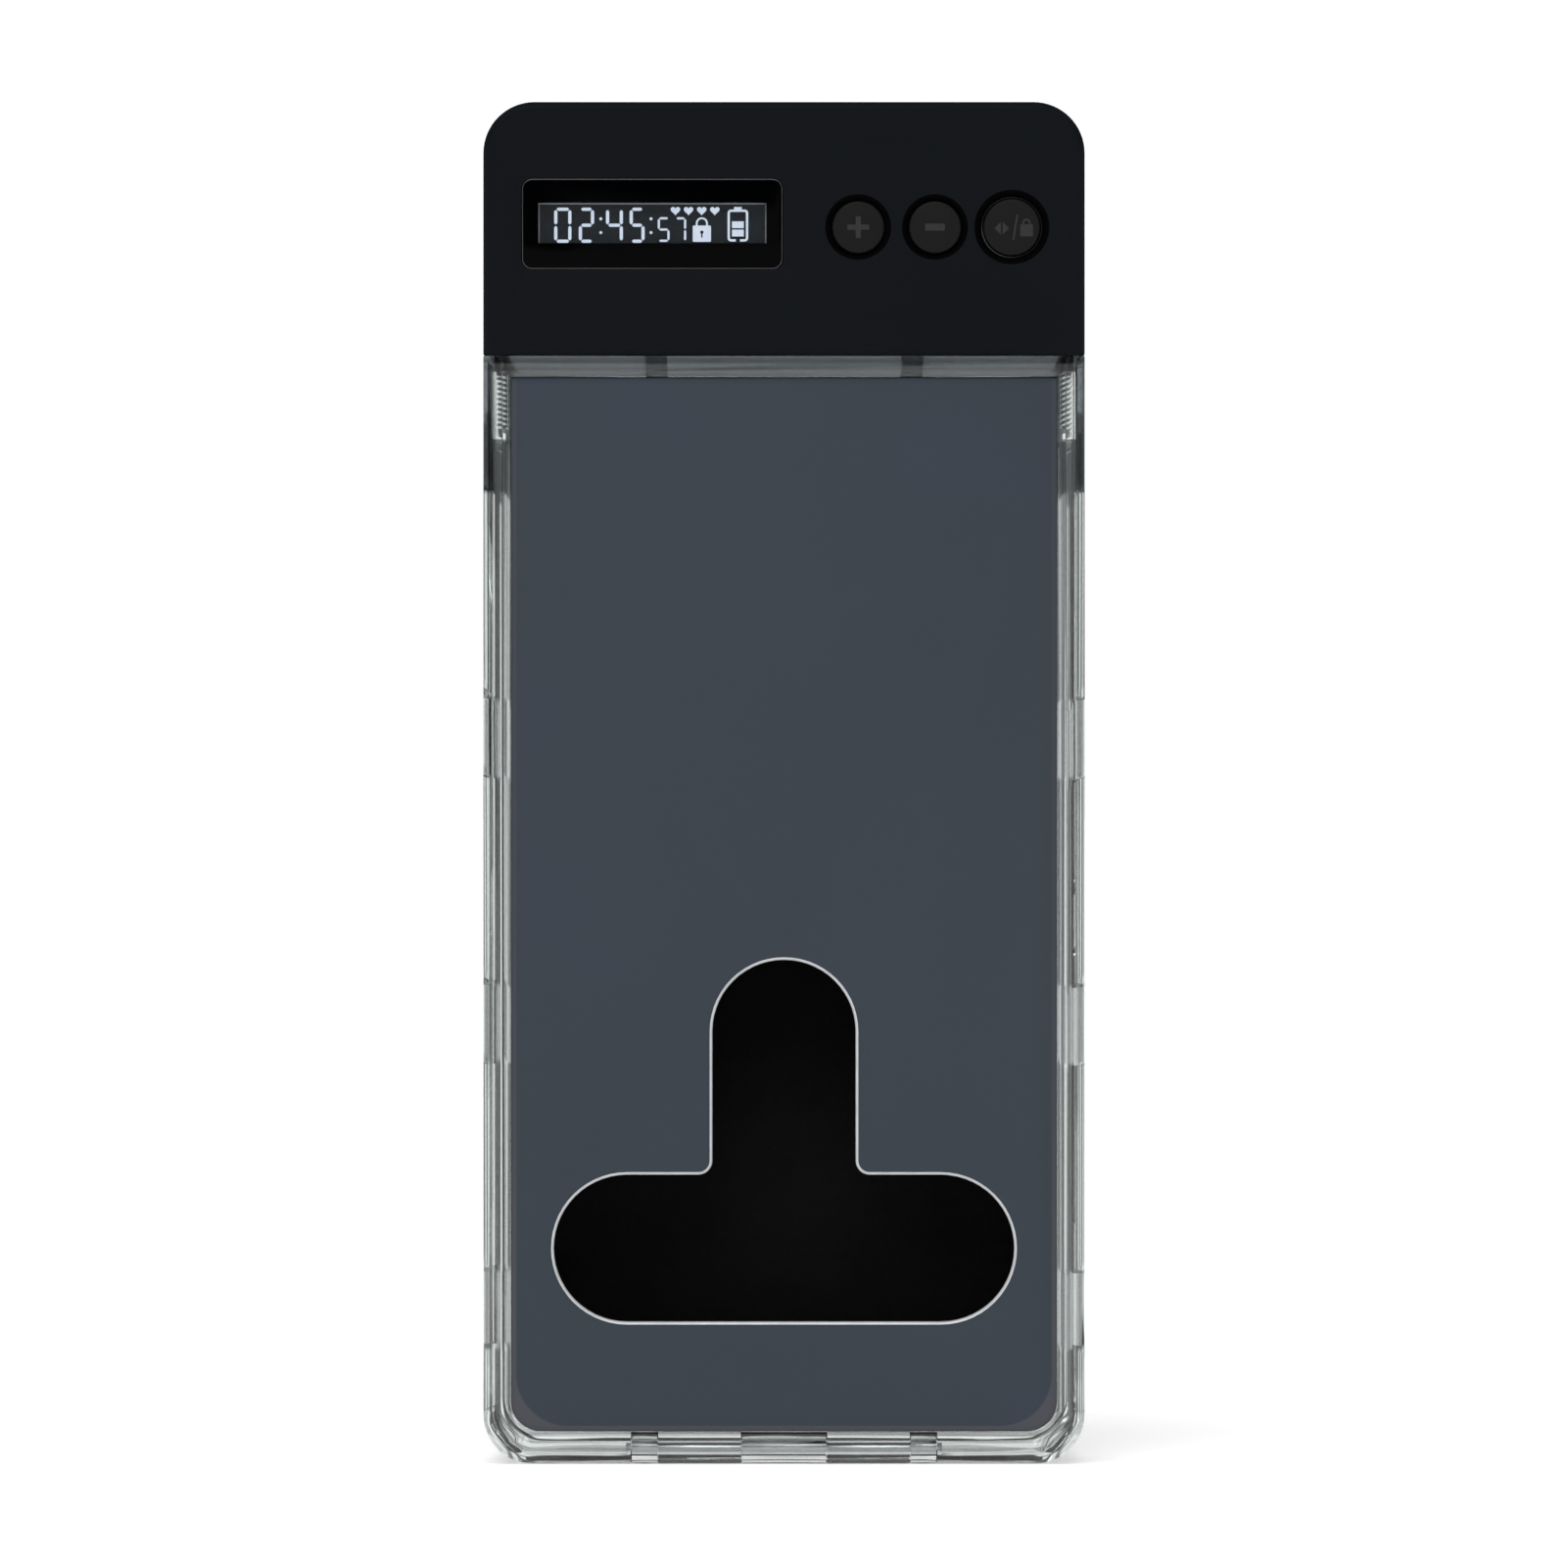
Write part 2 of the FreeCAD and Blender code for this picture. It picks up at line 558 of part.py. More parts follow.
def lock_chassis():
    """The plate that closes the head's floor: it guides the bolts, carries the motor and has two lugs."""
    body = new_body("lock_chassis")
    add(
        body, "top", HEAD_FLOOR, CHASSIS_TOP,
        rectangle(f"-{PLATE_SIDE}", PLATE_SIDE, f"{WALL_BACK} + fit_gap", f"{COVER_WALL} - fit_gap"),
    )
    ear = "2 * (body_screw_head_radius + ear_margin)"
    add(
        body, "top", HEAD_FLOOR, CHASSIS_TOP,
        *(centred(place, "body_screw_place", ear, ear) for place in BODY_SCREWS),
    )
    for place in CASE_SCREWS:
        add(
            body, "front", LOW_END, COVER_FRONT,
            rectangle(
                f"{place} - lug_half", f"{place} + lug_half", HEAD_FLOOR, f"{CASE_SCREW_LEVEL} + lug_half"
            ),
        )
    across = ("drive_place - motor_width / 2", "drive_place + motor_width / 2")
    bulkhead_back = "bulkhead_face + bulkhead_thickness"
    add(
        body, "side", "bulkhead_face", bulkhead_back,
        rectangle(*across, HEAD_FLOOR, f"{DRIVE_LEVEL} + motor_height / 2"),
    )
    cradle_back = "cradle_place + cradle_thickness"
    add(
        body, "side", "cradle_place", cradle_back,
        rectangle("drive_place - cradle_front", f"{across[1]} + cradle_wall", HEAD_FLOOR, DRIVE_LEVEL),
    )
    remove(
        body, "side", "cradle_place", cradle_back,
        rectangle("drive_place - cradle_front", across[1], f"{DRIVE_LEVEL} - motor_height / 2",
                  f"{DRIVE_LEVEL} + overcut"),
    )
    shaft_hole = circle("drive_place", DRIVE_LEVEL, "shaft_hole_radius")
    remove(body, "side", "bulkhead_face", bulkhead_back, shaft_hole)
    remove(
        body, "top", HEAD_FLOOR, CHASSIS_TOP,
        *(circle(place, "body_screw_place", "body_screw_radius + clear_gap") for place in BODY_SCREWS),
        *(circle(place, "bolt_place", "bolt_radius + running_gap") for place in BOLTS.values()),
    )
    remove(
        body, "front", LOW_END, COVER_FRONT,
        *(circle(place, CASE_SCREW_LEVEL, "case_screw_radius + clear_gap") for place in CASE_SCREWS),
    )
    return keep("lock_chassis", body)


def bolts():
    """Two steel bolts that slide in the plate's holes, pressed into the carriage and chamfered at the tip."""
    low = f"{HEAD_FLOOR} + bolt_lift"
    tip = on_level("Z", low)
    size = number("bolt_tip")
    for node, place in BOLTS.items():
        pin = rod("z", "bolt_radius", low, f"{CARRIAGE_LOW} + bolt_grip", place, "bolt_place")
        doc.recompute()
        chamfer = doc.addObject("Part::Chamfer", "tip")
        chamfer.Base = pin
        edges = enumerate(pin.Shape.Edges, start=1)
        chamfer.Edges = [(index, size, size) for index, edge in edges if tip(edge)]
        keep(node, chamfer)


def bolt_carriage():
    """The bar that carries both bolts, with the rack that the pinion drives behind the control board."""
    module, face = number("gear_module"), number("gear_face")
    pitch_place = number(PITCH_PLACE)
    root, crest = pitch_place - DEDENDUM * module, pitch_place + module
    sunk = root - number("tooth_sink")
    pitch = math.pi * module
    half_tooth = pitch / 4 - number("gear_backlash") / 2
    run, travel, middle = number("rack_run"), number("bolt_travel"), number(DRIVE_LEVEL)
    below, above = math.ceil(run / pitch), math.ceil((run + travel) / pitch)
    start = number("gear_start")
    lean = math.tan(PRESSURE_ANGLE)
    teeth = []
    for step in range(-below, above + 1):
        level = middle + step * pitch
        at_root = half_tooth + (pitch_place - root) * lean
        at_crest = half_tooth - (crest - pitch_place) * lean
        corners = [
            (sunk, level - at_root), (crest, level - at_crest),
            (crest, level + at_crest), (sunk, level + at_root),
        ]
        points = [FreeCAD.Vector(start, y, z) for y, z in corners]
        wire = Part.makePolygon(points + points[:1])
        teeth.append(Part.Face(wire).extrude(FreeCAD.Vector(face, 0, 0)))
    rack_teeth = doc.addObject("Part::Feature", "rack_teeth")
    rack_teeth.Shape = teeth[0].multiFuse(teeth[1:])
    rack_top = f"({DRIVE_LEVEL} + rack_run + bolt_travel + gear_module)"
    rack_root = f"({PITCH_PLACE} - {DEDENDUM} * gear_module)"
    rack_x = ("gear_start", "gear_start + gear_face")
    rack_back = f"({rack_root} - rack_thickness)"
    carriage_back = "(bolt_place + carriage_depth / 2)"
    shape = join(
        block(("-carriage_half", "carriage_half"), ("bolt_place - carriage_depth / 2", carriage_back),
              (CARRIAGE_LOW, CARRIAGE_TOP)),
        block(rack_x, (carriage_back, rack_root), (CARRIAGE_LOW, CARRIAGE_TOP)),
        block(rack_x, (rack_back, rack_root), (CARRIAGE_LOW, rack_top)),
        rack_teeth,
    )
    seats = [
        rod("z", "bolt_radius", f"{CARRIAGE_LOW} - overcut", f"{CARRIAGE_LOW} + bolt_grip",
            place, "bolt_place")
        for place in BOLTS.values()
    ]
    return keep("bolt_carriage", cut(shape, *seats))


def pinion():
    """The involute pinion on the motor's shaft, turned so that one of its gaps takes a rack tooth."""
    module, teeth = number("gear_module"), int(number("gear_teeth"))
    pitch_radius = module * teeth / 2
    base = pitch_radius * math.cos(PRESSURE_ANGLE)
    root, crest = pitch_radius - DEDENDUM * module, pitch_radius + module
    involute = math.tan(PRESSURE_ANGLE) - PRESSURE_ANGLE
    half_tooth = math.pi / (2 * teeth) - number("gear_backlash") / (2 * pitch_radius)
    start = number("gear_start")

    def on_flank(radius):
        """How far the flank lies from the tooth's middle at a radius, as an angle."""
        if radius <= base:
            return half_tooth + involute
        angle = math.acos(base / radius)
        return half_tooth + involute - (math.tan(angle) - angle)

    radii = [root, base] + [base + (crest - base) * step / FLANK_STEPS for step in range(1, FLANK_STEPS + 1)]
    points = []
    for tooth in range(teeth):
        middle = 2 * math.pi * (tooth + 0.5) / teeth
        flank = [(radius, middle - on_flank(radius)) for radius in radii]
        flank += [(radius, middle + on_flank(radius)) for radius in reversed(radii)]
        points += [
            FreeCAD.Vector(
                start, number("drive_place") + radius * math.cos(angle),
                number(DRIVE_LEVEL) + radius * math.sin(angle),
            )
            for radius, angle in flank
        ]
    face = Part.Face(Part.makePolygon(points + points[:1]))
    blank = doc.addObject("Part::Feature", "pinion_blank")
    blank.Shape = face.extrude(FreeCAD.Vector(number("gear_face"), 0, 0))
    bore = rod(
        "x", "shaft_radius", "gear_start - overcut", "gear_start + gear_face + overcut",
        "drive_place", DRIVE_LEVEL,
    )
    return keep("pinion", cut(blank, bore))


def gearmotor():
    """The small motor, its gearbox and the shaft. It lies in the cradle with its face on the bulkhead."""
    box_back = "(bulkhead_face - gearbox_length)"
    can_ends = (f"{box_back} - motor_length", box_back)
    across = ("drive_place - motor_width / 2", "drive_place + motor_width / 2")
    up = (f"{DRIVE_LEVEL} - motor_height / 2", f"{DRIVE_LEVEL} + motor_height / 2")
    can = doc.addObject("Part::Common", "can")
    can.Base = rod("x", "motor_height / 2", *can_ends, "drive_place", DRIVE_LEVEL)
    can.Tool = block(can_ends, across, up)
    keep("motor", can)
    shaft_back = "bulkhead_face - shaft_hold"
    hold = rod(
        "x", "shaft_radius + running_gap", f"{shaft_back} - shaft_end_gap", "bulkhead_face + overcut",
        "drive_place", DRIVE_LEVEL,
    )
    keep("gearbox", cut(block((box_back, "bulkhead_face"), across, up), hold))
    keep(
        "drive_shaft",
        rod("x", "shaft_radius", shaft_back, "bulkhead_face + shaft_reach", "drive_place", DRIVE_LEVEL),
    )


def head_outline():
    return rectangle(f"-{HALF}", HALF, HEAD_FLOOR, "overall_height", high_round="corner_radius")


def head_hollow():
    return rectangle(
        f"-{HEAD_SIDE}", HEAD_SIDE, f"{HEAD_FLOOR} - overcut", HEAD_CEILING,
        high_round="corner_radius - head_wall",
    )


def head_front_shell():
    """The black front shell: lens recess, dished button holes, posts, screw bosses and the port's slot."""
    body = new_body("head_front_shell")
    add(body, "front", FRONT, COVER_FRONT, head_outline())
    bevel_edges(body, "head_edge", on_level("Y", FRONT))
    remove(body, "front", WALL_BACK, COVER_FRONT, head_hollow())
    lens_seat = f"({FRONT} + lens_thickness + lens_glue)"
    remove(
        body, "front", FRONT, lens_seat,
        centred(LENS_MIDDLE, DISPLAY_LEVEL, "lens_width + 2 * lens_gap", "lens_height + 2 * lens_gap",
                "lens_round + lens_gap"),
    )
    remove(
        body, "front", lens_seat, WALL_BACK,
        centred(LENS_MIDDLE, DISPLAY_LEVEL, "sight_width", "sight_height"),
    )
    remove(
        body, "front", FRONT, WALL_BACK,
        *(circle(place, BUTTON_LEVEL, f"{radius} + cap_gap") for place, radius, _ in BUTTONS.values()),
    )
    for place, radius, dish in BUTTONS.values():
        bevel_edges(body, dish, hole_rim(FRONT, place, f"{radius} + cap_gap"))
    add(
        body, "front", WALL_BACK, BOARD_FRONT,
        *(centred(place, BOARD_SCREW_LEVEL, "post_side", "post_side") for place in BOARD_SCREWS),
        *(centred(place, "(overall_height - rib_drop)", "rib_width", "rib_height") for place in BOARD_SCREWS),
    )
    remove(
        body, "front", f"{BOARD_FRONT} - board_screw_depth", BOARD_FRONT,
        *(circle(place, BOARD_SCREW_LEVEL, "board_screw_radius") for place in BOARD_SCREWS),
    )
    add(
        body, "front", WALL_BACK, LOW_END,
        *(centred(place, CASE_SCREW_LEVEL, "case_boss_side", "case_boss_side") for place in CASE_SCREWS),
    )
    remove(
        body, "front", f"({BACK} - case_sink - case_screw_length)", LOW_END,
        *(circle(place, CASE_SCREW_LEVEL, "case_screw_radius") for place in CASE_SCREWS),
    )
    notch = "2 * (body_screw_head_radius + ear_margin + fit_gap)"
    remove(
        body, "top", f"{HEAD_FLOOR} - overcut", f"{CHASSIS_TOP} + body_screw_head_height + overcut",
        *(centred(place, "body_screw_place", notch, notch) for place in BODY_SCREWS),
    )
    remove(
        body, "top", f"{HEAD_CEILING} - overcut", "overall_height + overcut",
        centred("0", PORT_PLACE, "port_width + 2 * port_gap", "port_height + 2 * port_gap",
                "port_height / 2 + port_gap - arc_trim"),
    )
    return keep("head_front_shell", body)


def head_rear_cover():
    """The black rear cover: a tongue that hooks it under the shell's ceiling, and two screw pillars."""
    body = new_body("head_rear_cover")
    add(body, "front", COVER_FRONT, BACK, head_outline())
    bevel_edges(body, "head_edge", on_level("Y", BACK))
    remove(body, "front", COVER_FRONT, COVER_WALL, head_hollow())
    add(
        body, "front", COVER_FRONT, COVER_WALL,
        *(centred(place, CASE_SCREW_LEVEL, "case_boss_side", "case_boss_side") for place in CASE_SCREWS),
    )
    tongue_low = f"{HEAD_CEILING} - fit_gap - tongue_thickness"
    add(
        body, "front", COVER_FRONT, COVER_WALL,
        rectangle("-tongue_half", "tongue_half", tongue_low, HEAD_CEILING),
    )
    add(
        body, "front", f"{COVER_FRONT} - tongue_reach", COVER_WALL,
        rectangle("-tongue_half", "tongue_half", tongue_low, f"{HEAD_CEILING} - fit_gap"),
    )
    hole = "(case_screw_radius + clear_gap)"
    remove(
        body, "front", COVER_FRONT, BACK, *(circle(place, CASE_SCREW_LEVEL, hole) for place in CASE_SCREWS)
    )
    for place in CASE_SCREWS:
        bevel_edges(body, f"case_screw_head_radius + case_sink - {hole}", hole_rim(BACK, place, hole))
    return keep("head_rear_cover", body)


def case_screws():
    """Two countersunk screws, from the rear cover through the plate's lugs into the front shell's bosses."""
    head_top = f"({BACK} - case_sink)"
    head_height = "(case_screw_head_radius - case_screw_radius)"
    screws = []
    for place in CASE_SCREWS:
        head = doc.addObject("Part::Cone", "head")
        head.Placement = FreeCAD.Placement(FreeCAD.Vector(), TURNS["y"])
        head.setExpression("Radius1", bound("case_screw_radius"))
        head.setExpression("Radius2", bound("case_screw_head_radius"))
        head.setExpression("Height", bound(head_height))
        for name, value in zip("xyz", (place, f"{head_top} - {head_height}", CASE_SCREW_LEVEL)):
            head.setExpression(f"Placement.Base.{name}", bound(value))
        ends = f"{head_top} - case_screw_length", f"{head_top} - {head_height}"
        shank = rod("y", "case_screw_radius", *ends, place, CASE_SCREW_LEVEL)
        screws.append(join(head, shank))
    return keep("case_screws", group(screws))


def display():
    """The lens in the front wall's recess, the liquid crystal glass behind it and the glass's holder."""
    body = new_body("display_window")
    add(
        body, "front", f"{FRONT} + lens_glue", f"{FRONT} + lens_thickness + lens_glue",
        centred(LENS_MIDDLE, DISPLAY_LEVEL, "lens_width", "lens_height", "lens_round"),
    )
    keep("display_window", body)

    def around(margin):
        return [
            (f"{middle} - {size} / 2 - ({margin})", f"{middle} + {size} / 2 + ({margin})")
            for middle, size in ((LENS_MIDDLE, "glass_width"), (DISPLAY_LEVEL, "glass_height"))
        ]

    def slab(margin, low, high):
        across, up = around(margin)
        return block(across, (low, high), up)

    glass_back = f"{WALL_BACK} + glass_thickness"
    keep("display_panel", slab("0", WALL_BACK, glass_back))
    keep(
        "display_holder",
        cut(
            slab("holder_wall", WALL_BACK, BOARD_FRONT), slab("0", f"{WALL_BACK} - overcut", glass_back),
            slab("-holder_grip", WALL_BACK, f"{BOARD_FRONT} + overcut"),
        ),
    )


def buttons():
    """Three round caps with retaining flanges, their switches' square plungers, and the switch bodies."""
    cap_front = f"({FRONT} + cap_recess)"
    flange_front = f"({WALL_BACK} + press_gap)"
    flange_back = f"({flange_front} + flange_thickness)"
    switch_front = f"({BOARD_FRONT} - switch_thickness)"

    def square_block(place, side, low, high):
        middles = (place, BUTTON_LEVEL)
        across, up = [(f"{middle} - ({side}) / 2", f"{middle} + ({side}) / 2") for middle in middles]
        return block(across, (low, high), up)

    switches = []
    for name, (place, radius, _) in BUTTONS.items():
        body = new_body(f"{name}_button")
        add(body, "front", cap_front, flange_back, circle(place, BUTTON_LEVEL, radius))
        add(body, "front", flange_front, flange_back, circle(place, BUTTON_LEVEL, f"{radius} + flange_width"))
        keep(f"{name}_button", body)
        keep(
            f"{name}_switch_plunger",
            square_block(place, "plunger_side", flange_back, f"{switch_front} + plunger_hold"),
        )
        switches.append(
            cut(
                square_block(place, "switch_width", switch_front, BOARD_FRONT),
                square_block(place, "plunger_side + 2 * press_gap", f"{switch_front} - overcut",
                             f"{BOARD_FRONT} + overcut"),
            )
        )
    keep("button_switches", group(switches))


def control_board():
    body = new_body("control_board")
    add(
        body, "front", BOARD_FRONT, BOARD_BACK,
        rectangle(
            f"-{BOARD_SIDE}", BOARD_SIDE, BOARD_LOW, "(overall_height - board_drop)",
            high_round="board_corner",
        ),
    )
    remove(
        body, "front", BOARD_FRONT, BOARD_BACK,
        *(circle(place, BOARD_SCREW_LEVEL, "board_screw_radius + clear_gap") for place in BOARD_SCREWS),
    )
    return keep("control_board", body)


def board_screws():
    """Two screws that hold the board's lower corners. Its top is held by the port in the shell's slot."""
    head_top = f"{BOARD_BACK} + board_screw_head_height"
    screws = [
        join(
            rod("y", "board_screw_head_radius", BOARD_BACK, head_top, place, BOARD_SCREW_LEVEL),
            rod("y", "board_screw_radius", f"{BOARD_FRONT} - board_screw_depth", BOARD_BACK, place,
                BOARD_SCREW_LEVEL),
        )
        for place in BOARD_SCREWS
    ]
    return keep("board_screws", group(screws))


def on_board(across, level, width, length, stand):
    """A block soldered on the board's back."""
    return block(
        (f"{across} - {width} / 2", f"{across} + {width} / 2"), (BOARD_BACK, f"{BOARD_BACK} + {stand}"),
        (f"{HEAD_FLOOR} + {level} - {length} / 2", f"{HEAD_FLOOR} + {level} + {length} / 2"),
    )


def board_components():
    """The parts on the board's back: controller, motor driver, capacitor and the two lead connectors."""
    lead_place = f"({HEAD_SIDE} - battery_lead_inset)"
    placed = [
        ("controller_place", "controller_level", "controller_side", "controller_side", "chip_height"),
        ("driver_place", "driver_level", "driver_width", "driver_width", "chip_height"),
        ("capacitor_place", "capacitor_level", "capacitor_width", "capacitor_length", "capacitor_height"),
        ("motor_lead_place", "motor_lead_level", "connector_width", "connector_length", "connector_height"),
        (lead_place, "battery_lead_level", "connector_width", "connector_length", "connector_height"),
    ]
    return keep("board_components", group([on_board(*sizes) for sizes in placed]))


def power_and_sound():
    """The battery on its adhesive pad, the charging port in the head's top and the buzzer on the board."""
    pad_front = f"({COVER_WALL} - pad_thickness)"
    low = f"({HEAD_FLOOR} + battery_rise)"
    right = f"({HEAD_SIDE} - battery_inset)"
    sides = (f"{right} - battery_width", right)
    keep(
        "battery",
        block(sides, (f"{pad_front} - battery_thickness", pad_front), (low, f"{low} + battery_height")),
    )
    keep(
        "battery_pad",
        block((f"{sides[0]} + pad_margin", f"{sides[1]} - pad_margin"), (pad_front, COVER_WALL),
              (f"{low} + pad_margin", f"{low} + battery_height - pad_margin")),
    )
    shell = new_body("charging_port")
    add(
        shell, "top", f"{PORT_TOP} - port_length", PORT_TOP,
        centred("0", PORT_PLACE, "port_width", "port_height", "port_height / 2 - arc_trim"),
    )
    remove(
        shell, "top", f"{PORT_TOP} - port_length + port_floor", PORT_TOP,
        centred("0", PORT_PLACE, "port_width - 2 * port_wall", "port_height - 2 * port_wall",
                "port_height / 2 - port_wall - arc_trim"),
    )
    keep("charging_port", shell)
    keep(
        "charging_port_tongue",
        block(("-port_tongue_width / 2", "port_tongue_width / 2"),
              (f"{PORT_PLACE} - port_tongue_thickness / 2", f"{PORT_PLACE} + port_tongue_thickness / 2"),
              (f"{PORT_TOP} - port_length + port_floor", f"{PORT_TOP} - port_sink")),
    )
    buzzer_place = f"(buzzer_inset - {HEAD_SIDE})"
    keep("buzzer", on_board(buzzer_place, "buzzer_level", "buzzer_side", "buzzer_side", "buzzer_height"))


for build in (
    clear_tray, foam_liner, door_frame, door_panel, hinge_pin, body_screws, lock_chassis, bolts,
    bolt_carriage, pinion, gearmotor, head_front_shell, head_rear_cover, case_screws, display, buttons,
    control_board, board_screws, board_components, power_and_sound,
):
    build()
doc.recompute()

for item in doc.Objects:
    if {"Invalid", "Error"} & set(item.State):
        raise RuntimeError(f"{item.Name} ({item.Label}) is {item.State}")
for node, item in SUBPARTS.items():
    if item.Shape.isNull() or not item.Shape.isValid():
        raise RuntimeError(f"{node} has no valid shape")

os.makedirs("parts", exist_ok=True)
for node, item in SUBPARTS.items():
    item.Shape.exportStep(f"parts/{node}.step")
print(len(SUBPARTS), "sub-parts written")
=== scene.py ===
import math

import bpy
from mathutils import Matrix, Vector


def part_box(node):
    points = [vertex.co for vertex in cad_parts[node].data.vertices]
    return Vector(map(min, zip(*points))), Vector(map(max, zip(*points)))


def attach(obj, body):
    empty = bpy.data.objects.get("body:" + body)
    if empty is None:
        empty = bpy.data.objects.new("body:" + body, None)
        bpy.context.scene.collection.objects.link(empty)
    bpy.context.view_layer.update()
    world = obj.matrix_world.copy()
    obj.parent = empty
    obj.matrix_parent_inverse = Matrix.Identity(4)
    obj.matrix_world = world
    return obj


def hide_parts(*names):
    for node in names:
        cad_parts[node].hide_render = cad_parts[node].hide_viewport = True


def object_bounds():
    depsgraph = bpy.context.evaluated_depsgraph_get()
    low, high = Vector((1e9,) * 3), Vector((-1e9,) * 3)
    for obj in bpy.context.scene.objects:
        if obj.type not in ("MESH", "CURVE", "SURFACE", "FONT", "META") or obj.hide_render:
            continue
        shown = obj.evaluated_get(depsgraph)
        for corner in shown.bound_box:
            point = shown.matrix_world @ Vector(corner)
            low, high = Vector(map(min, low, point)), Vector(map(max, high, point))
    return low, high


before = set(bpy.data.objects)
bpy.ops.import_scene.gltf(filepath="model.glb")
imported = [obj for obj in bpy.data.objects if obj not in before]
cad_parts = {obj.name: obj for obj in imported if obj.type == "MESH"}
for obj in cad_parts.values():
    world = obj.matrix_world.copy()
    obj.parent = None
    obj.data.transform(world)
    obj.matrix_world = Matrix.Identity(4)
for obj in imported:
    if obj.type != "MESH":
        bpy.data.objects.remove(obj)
cad_box = [list(corner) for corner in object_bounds()]

# The studio: a wide white floor in a white tent with dark gaps between its panels, and one soft light. The
# gaps draw the clear plastic's edges as fine dark lines. The camera looks square at the front, as in the
# photograph, from a distance that flattens the depth.
MM = 0.001
PHOTO_PIXELS = 1601
PIXEL = 0.153 * MM
EYE_LEVEL = 106.4 * MM
CAMERA_DISTANCE = 1.6
SENSOR = 36
SUN_TILT = 38
SUN_TURN = -12
SUN_SPREAD = 50
SUN_STRENGTH = 1.9
container_front = cad_box[0][1]

bpy.ops.object.camera_add(
    location=(0, container_front - CAMERA_DISTANCE, EYE_LEVEL), rotation=(math.radians(90), 0, 0)
)
camera = bpy.context.object
camera.name = "camera"
camera.data.sensor_width = SENSOR
camera.data.lens = SENSOR * CAMERA_DISTANCE / (PHOTO_PIXELS * PIXEL)
bpy.context.scene.camera = camera
bpy.context.scene.view_settings.view_transform = "Standard"

bpy.ops.object.light_add(type="SUN", rotation=(math.radians(SUN_TILT), 0, math.radians(SUN_TURN)))
sun = bpy.context.object
sun.name = "soft_sun"
sun.data.energy = SUN_STRENGTH
sun.data.angle = math.radians(SUN_SPREAD)


class Signal:
    """An output of a material's node. Operators add Math nodes to it, and node() adds any other node."""

    def __init__(self, tree, socket):
        self.tree = tree
        self.socket = socket

    def node(self, kind, settings, inputs, output=0):
        """Adds a node, with its settings and what its sockets take, and gives one of its outputs."""
        added = self.tree.nodes.new(kind)
        for name, value in settings.items():
            setattr(added, name, value)
        for name, value in inputs.items():
            if isinstance(value, Signal):
                self.tree.links.new(value.socket, added.inputs[name])
            else:
                added.inputs[name].default_value = value
        return Signal(self.tree, added.outputs[output])

    def math(self, operation, first, second=0.0):
        return self.node("ShaderNodeMath", {"operation": operation}, {0: first, 1: second})

    def __add__(self, other):
        return self.math("ADD", self, other)

    __radd__ = __add__

    def __sub__(self, other):
        return self.math("SUBTRACT", self, other)

    def __rsub__(self, other):
        return self.math("SUBTRACT", other, self)

    def __mul__(self, other):
        return self.math("MULTIPLY", self, other)

    __rmul__ = __mul__

    def __abs__(self):
        return self.math("ABSOLUTE", self)

    def soft(self, low, high):
        """A smooth step from 0 at the low level to 1 at the high one."""
        settings = {"interpolation_type": "SMOOTHSTEP"}
        return self.node("ShaderNodeMapRange", settings, {"Value": self, "From Min": low, "From Max": high})

    def above(self, level):
        """1 where the signal is over the level and 0 elsewhere."""
        return self.math("GREATER_THAN", self, level)

    def axis(self, name):
        """One of the X, Y and Z parts of a vector."""
        return self.node("ShaderNodeSeparateXYZ", {}, {0: self}, name)

    def grain(self, size, detail=2.0):
        """Even noise from 0 to 1 whose spots are about this size in metres."""
        return self.node("ShaderNodeTexNoise", {}, {"Vector": self, "Scale": 1 / size, "Detail": detail})

    def blend(self, first, second):
        """A colour between two, by the signal."""
        return self.node("ShaderNodeMix", {"data_type": "RGBA"}, {0: self, 6: first, 7: second}, 2)

    def feeds(self, name):
        self.tree.links.new(self.socket, self.tree.nodes["Principled BSDF"].inputs[name])

    def raises(self, depth, strength=1.0):
        """Bump from the signal, this deep in metres."""
        bump = self.node("ShaderNodeBump", {}, {"Height": self, "Distance": depth, "Strength": strength})
        bump.feeds("Normal")


TENT_PANELS = 8
TENT_ROWS = 9
UPRIGHT_GAP = (-0.35, 0.1)
LEVEL_GAP = (-0.5, 0.2)
GAP_LIGHT = 0.03
PANEL_LIGHT = 1.0
BACKGROUND_LIGHT = 1.05
room = bpy.data.worlds.new("white_tent")
bpy.context.scene.world = room
room.use_nodes = True
tent = room.node_tree
direction = Signal(tent, tent.nodes.new("ShaderNodeTexCoord").outputs["Generated"])
turn = direction.math("ARCTAN2", direction.axis("X"), direction.axis("Y"))
upright = turn.math("COSINE", turn * TENT_PANELS)
level = turn.math("COSINE", direction.axis("Z") * TENT_ROWS)
panels = upright.soft(*UPRIGHT_GAP) * level.soft(*LEVEL_GAP)
seen = Signal(tent, tent.nodes.new("ShaderNodeLightPath").outputs["Is Camera Ray"])
light = panels * (PANEL_LIGHT - GAP_LIGHT) + GAP_LIGHT
light = seen * BACKGROUND_LIGHT + (1 - seen) * light
tent.links.new(light.socket, tent.nodes["Background"].inputs["Strength"])
tent.nodes["Background"].inputs["Color"].default_value = (1, 1, 1, 1)


def finish(name, sockets):
    """A material with these constants on its shader, and the place on the object for what varies."""
    material = bpy.data.materials.new(name)
    material.use_nodes = True
    tree = material.node_tree
    for label, value in sockets.items():
        tree.nodes["Principled BSDF"].inputs[label].default_value = value
    place = tree.nodes.new("ShaderNodeTexCoord")
    return material, Signal(tree, place.outputs["Object"])


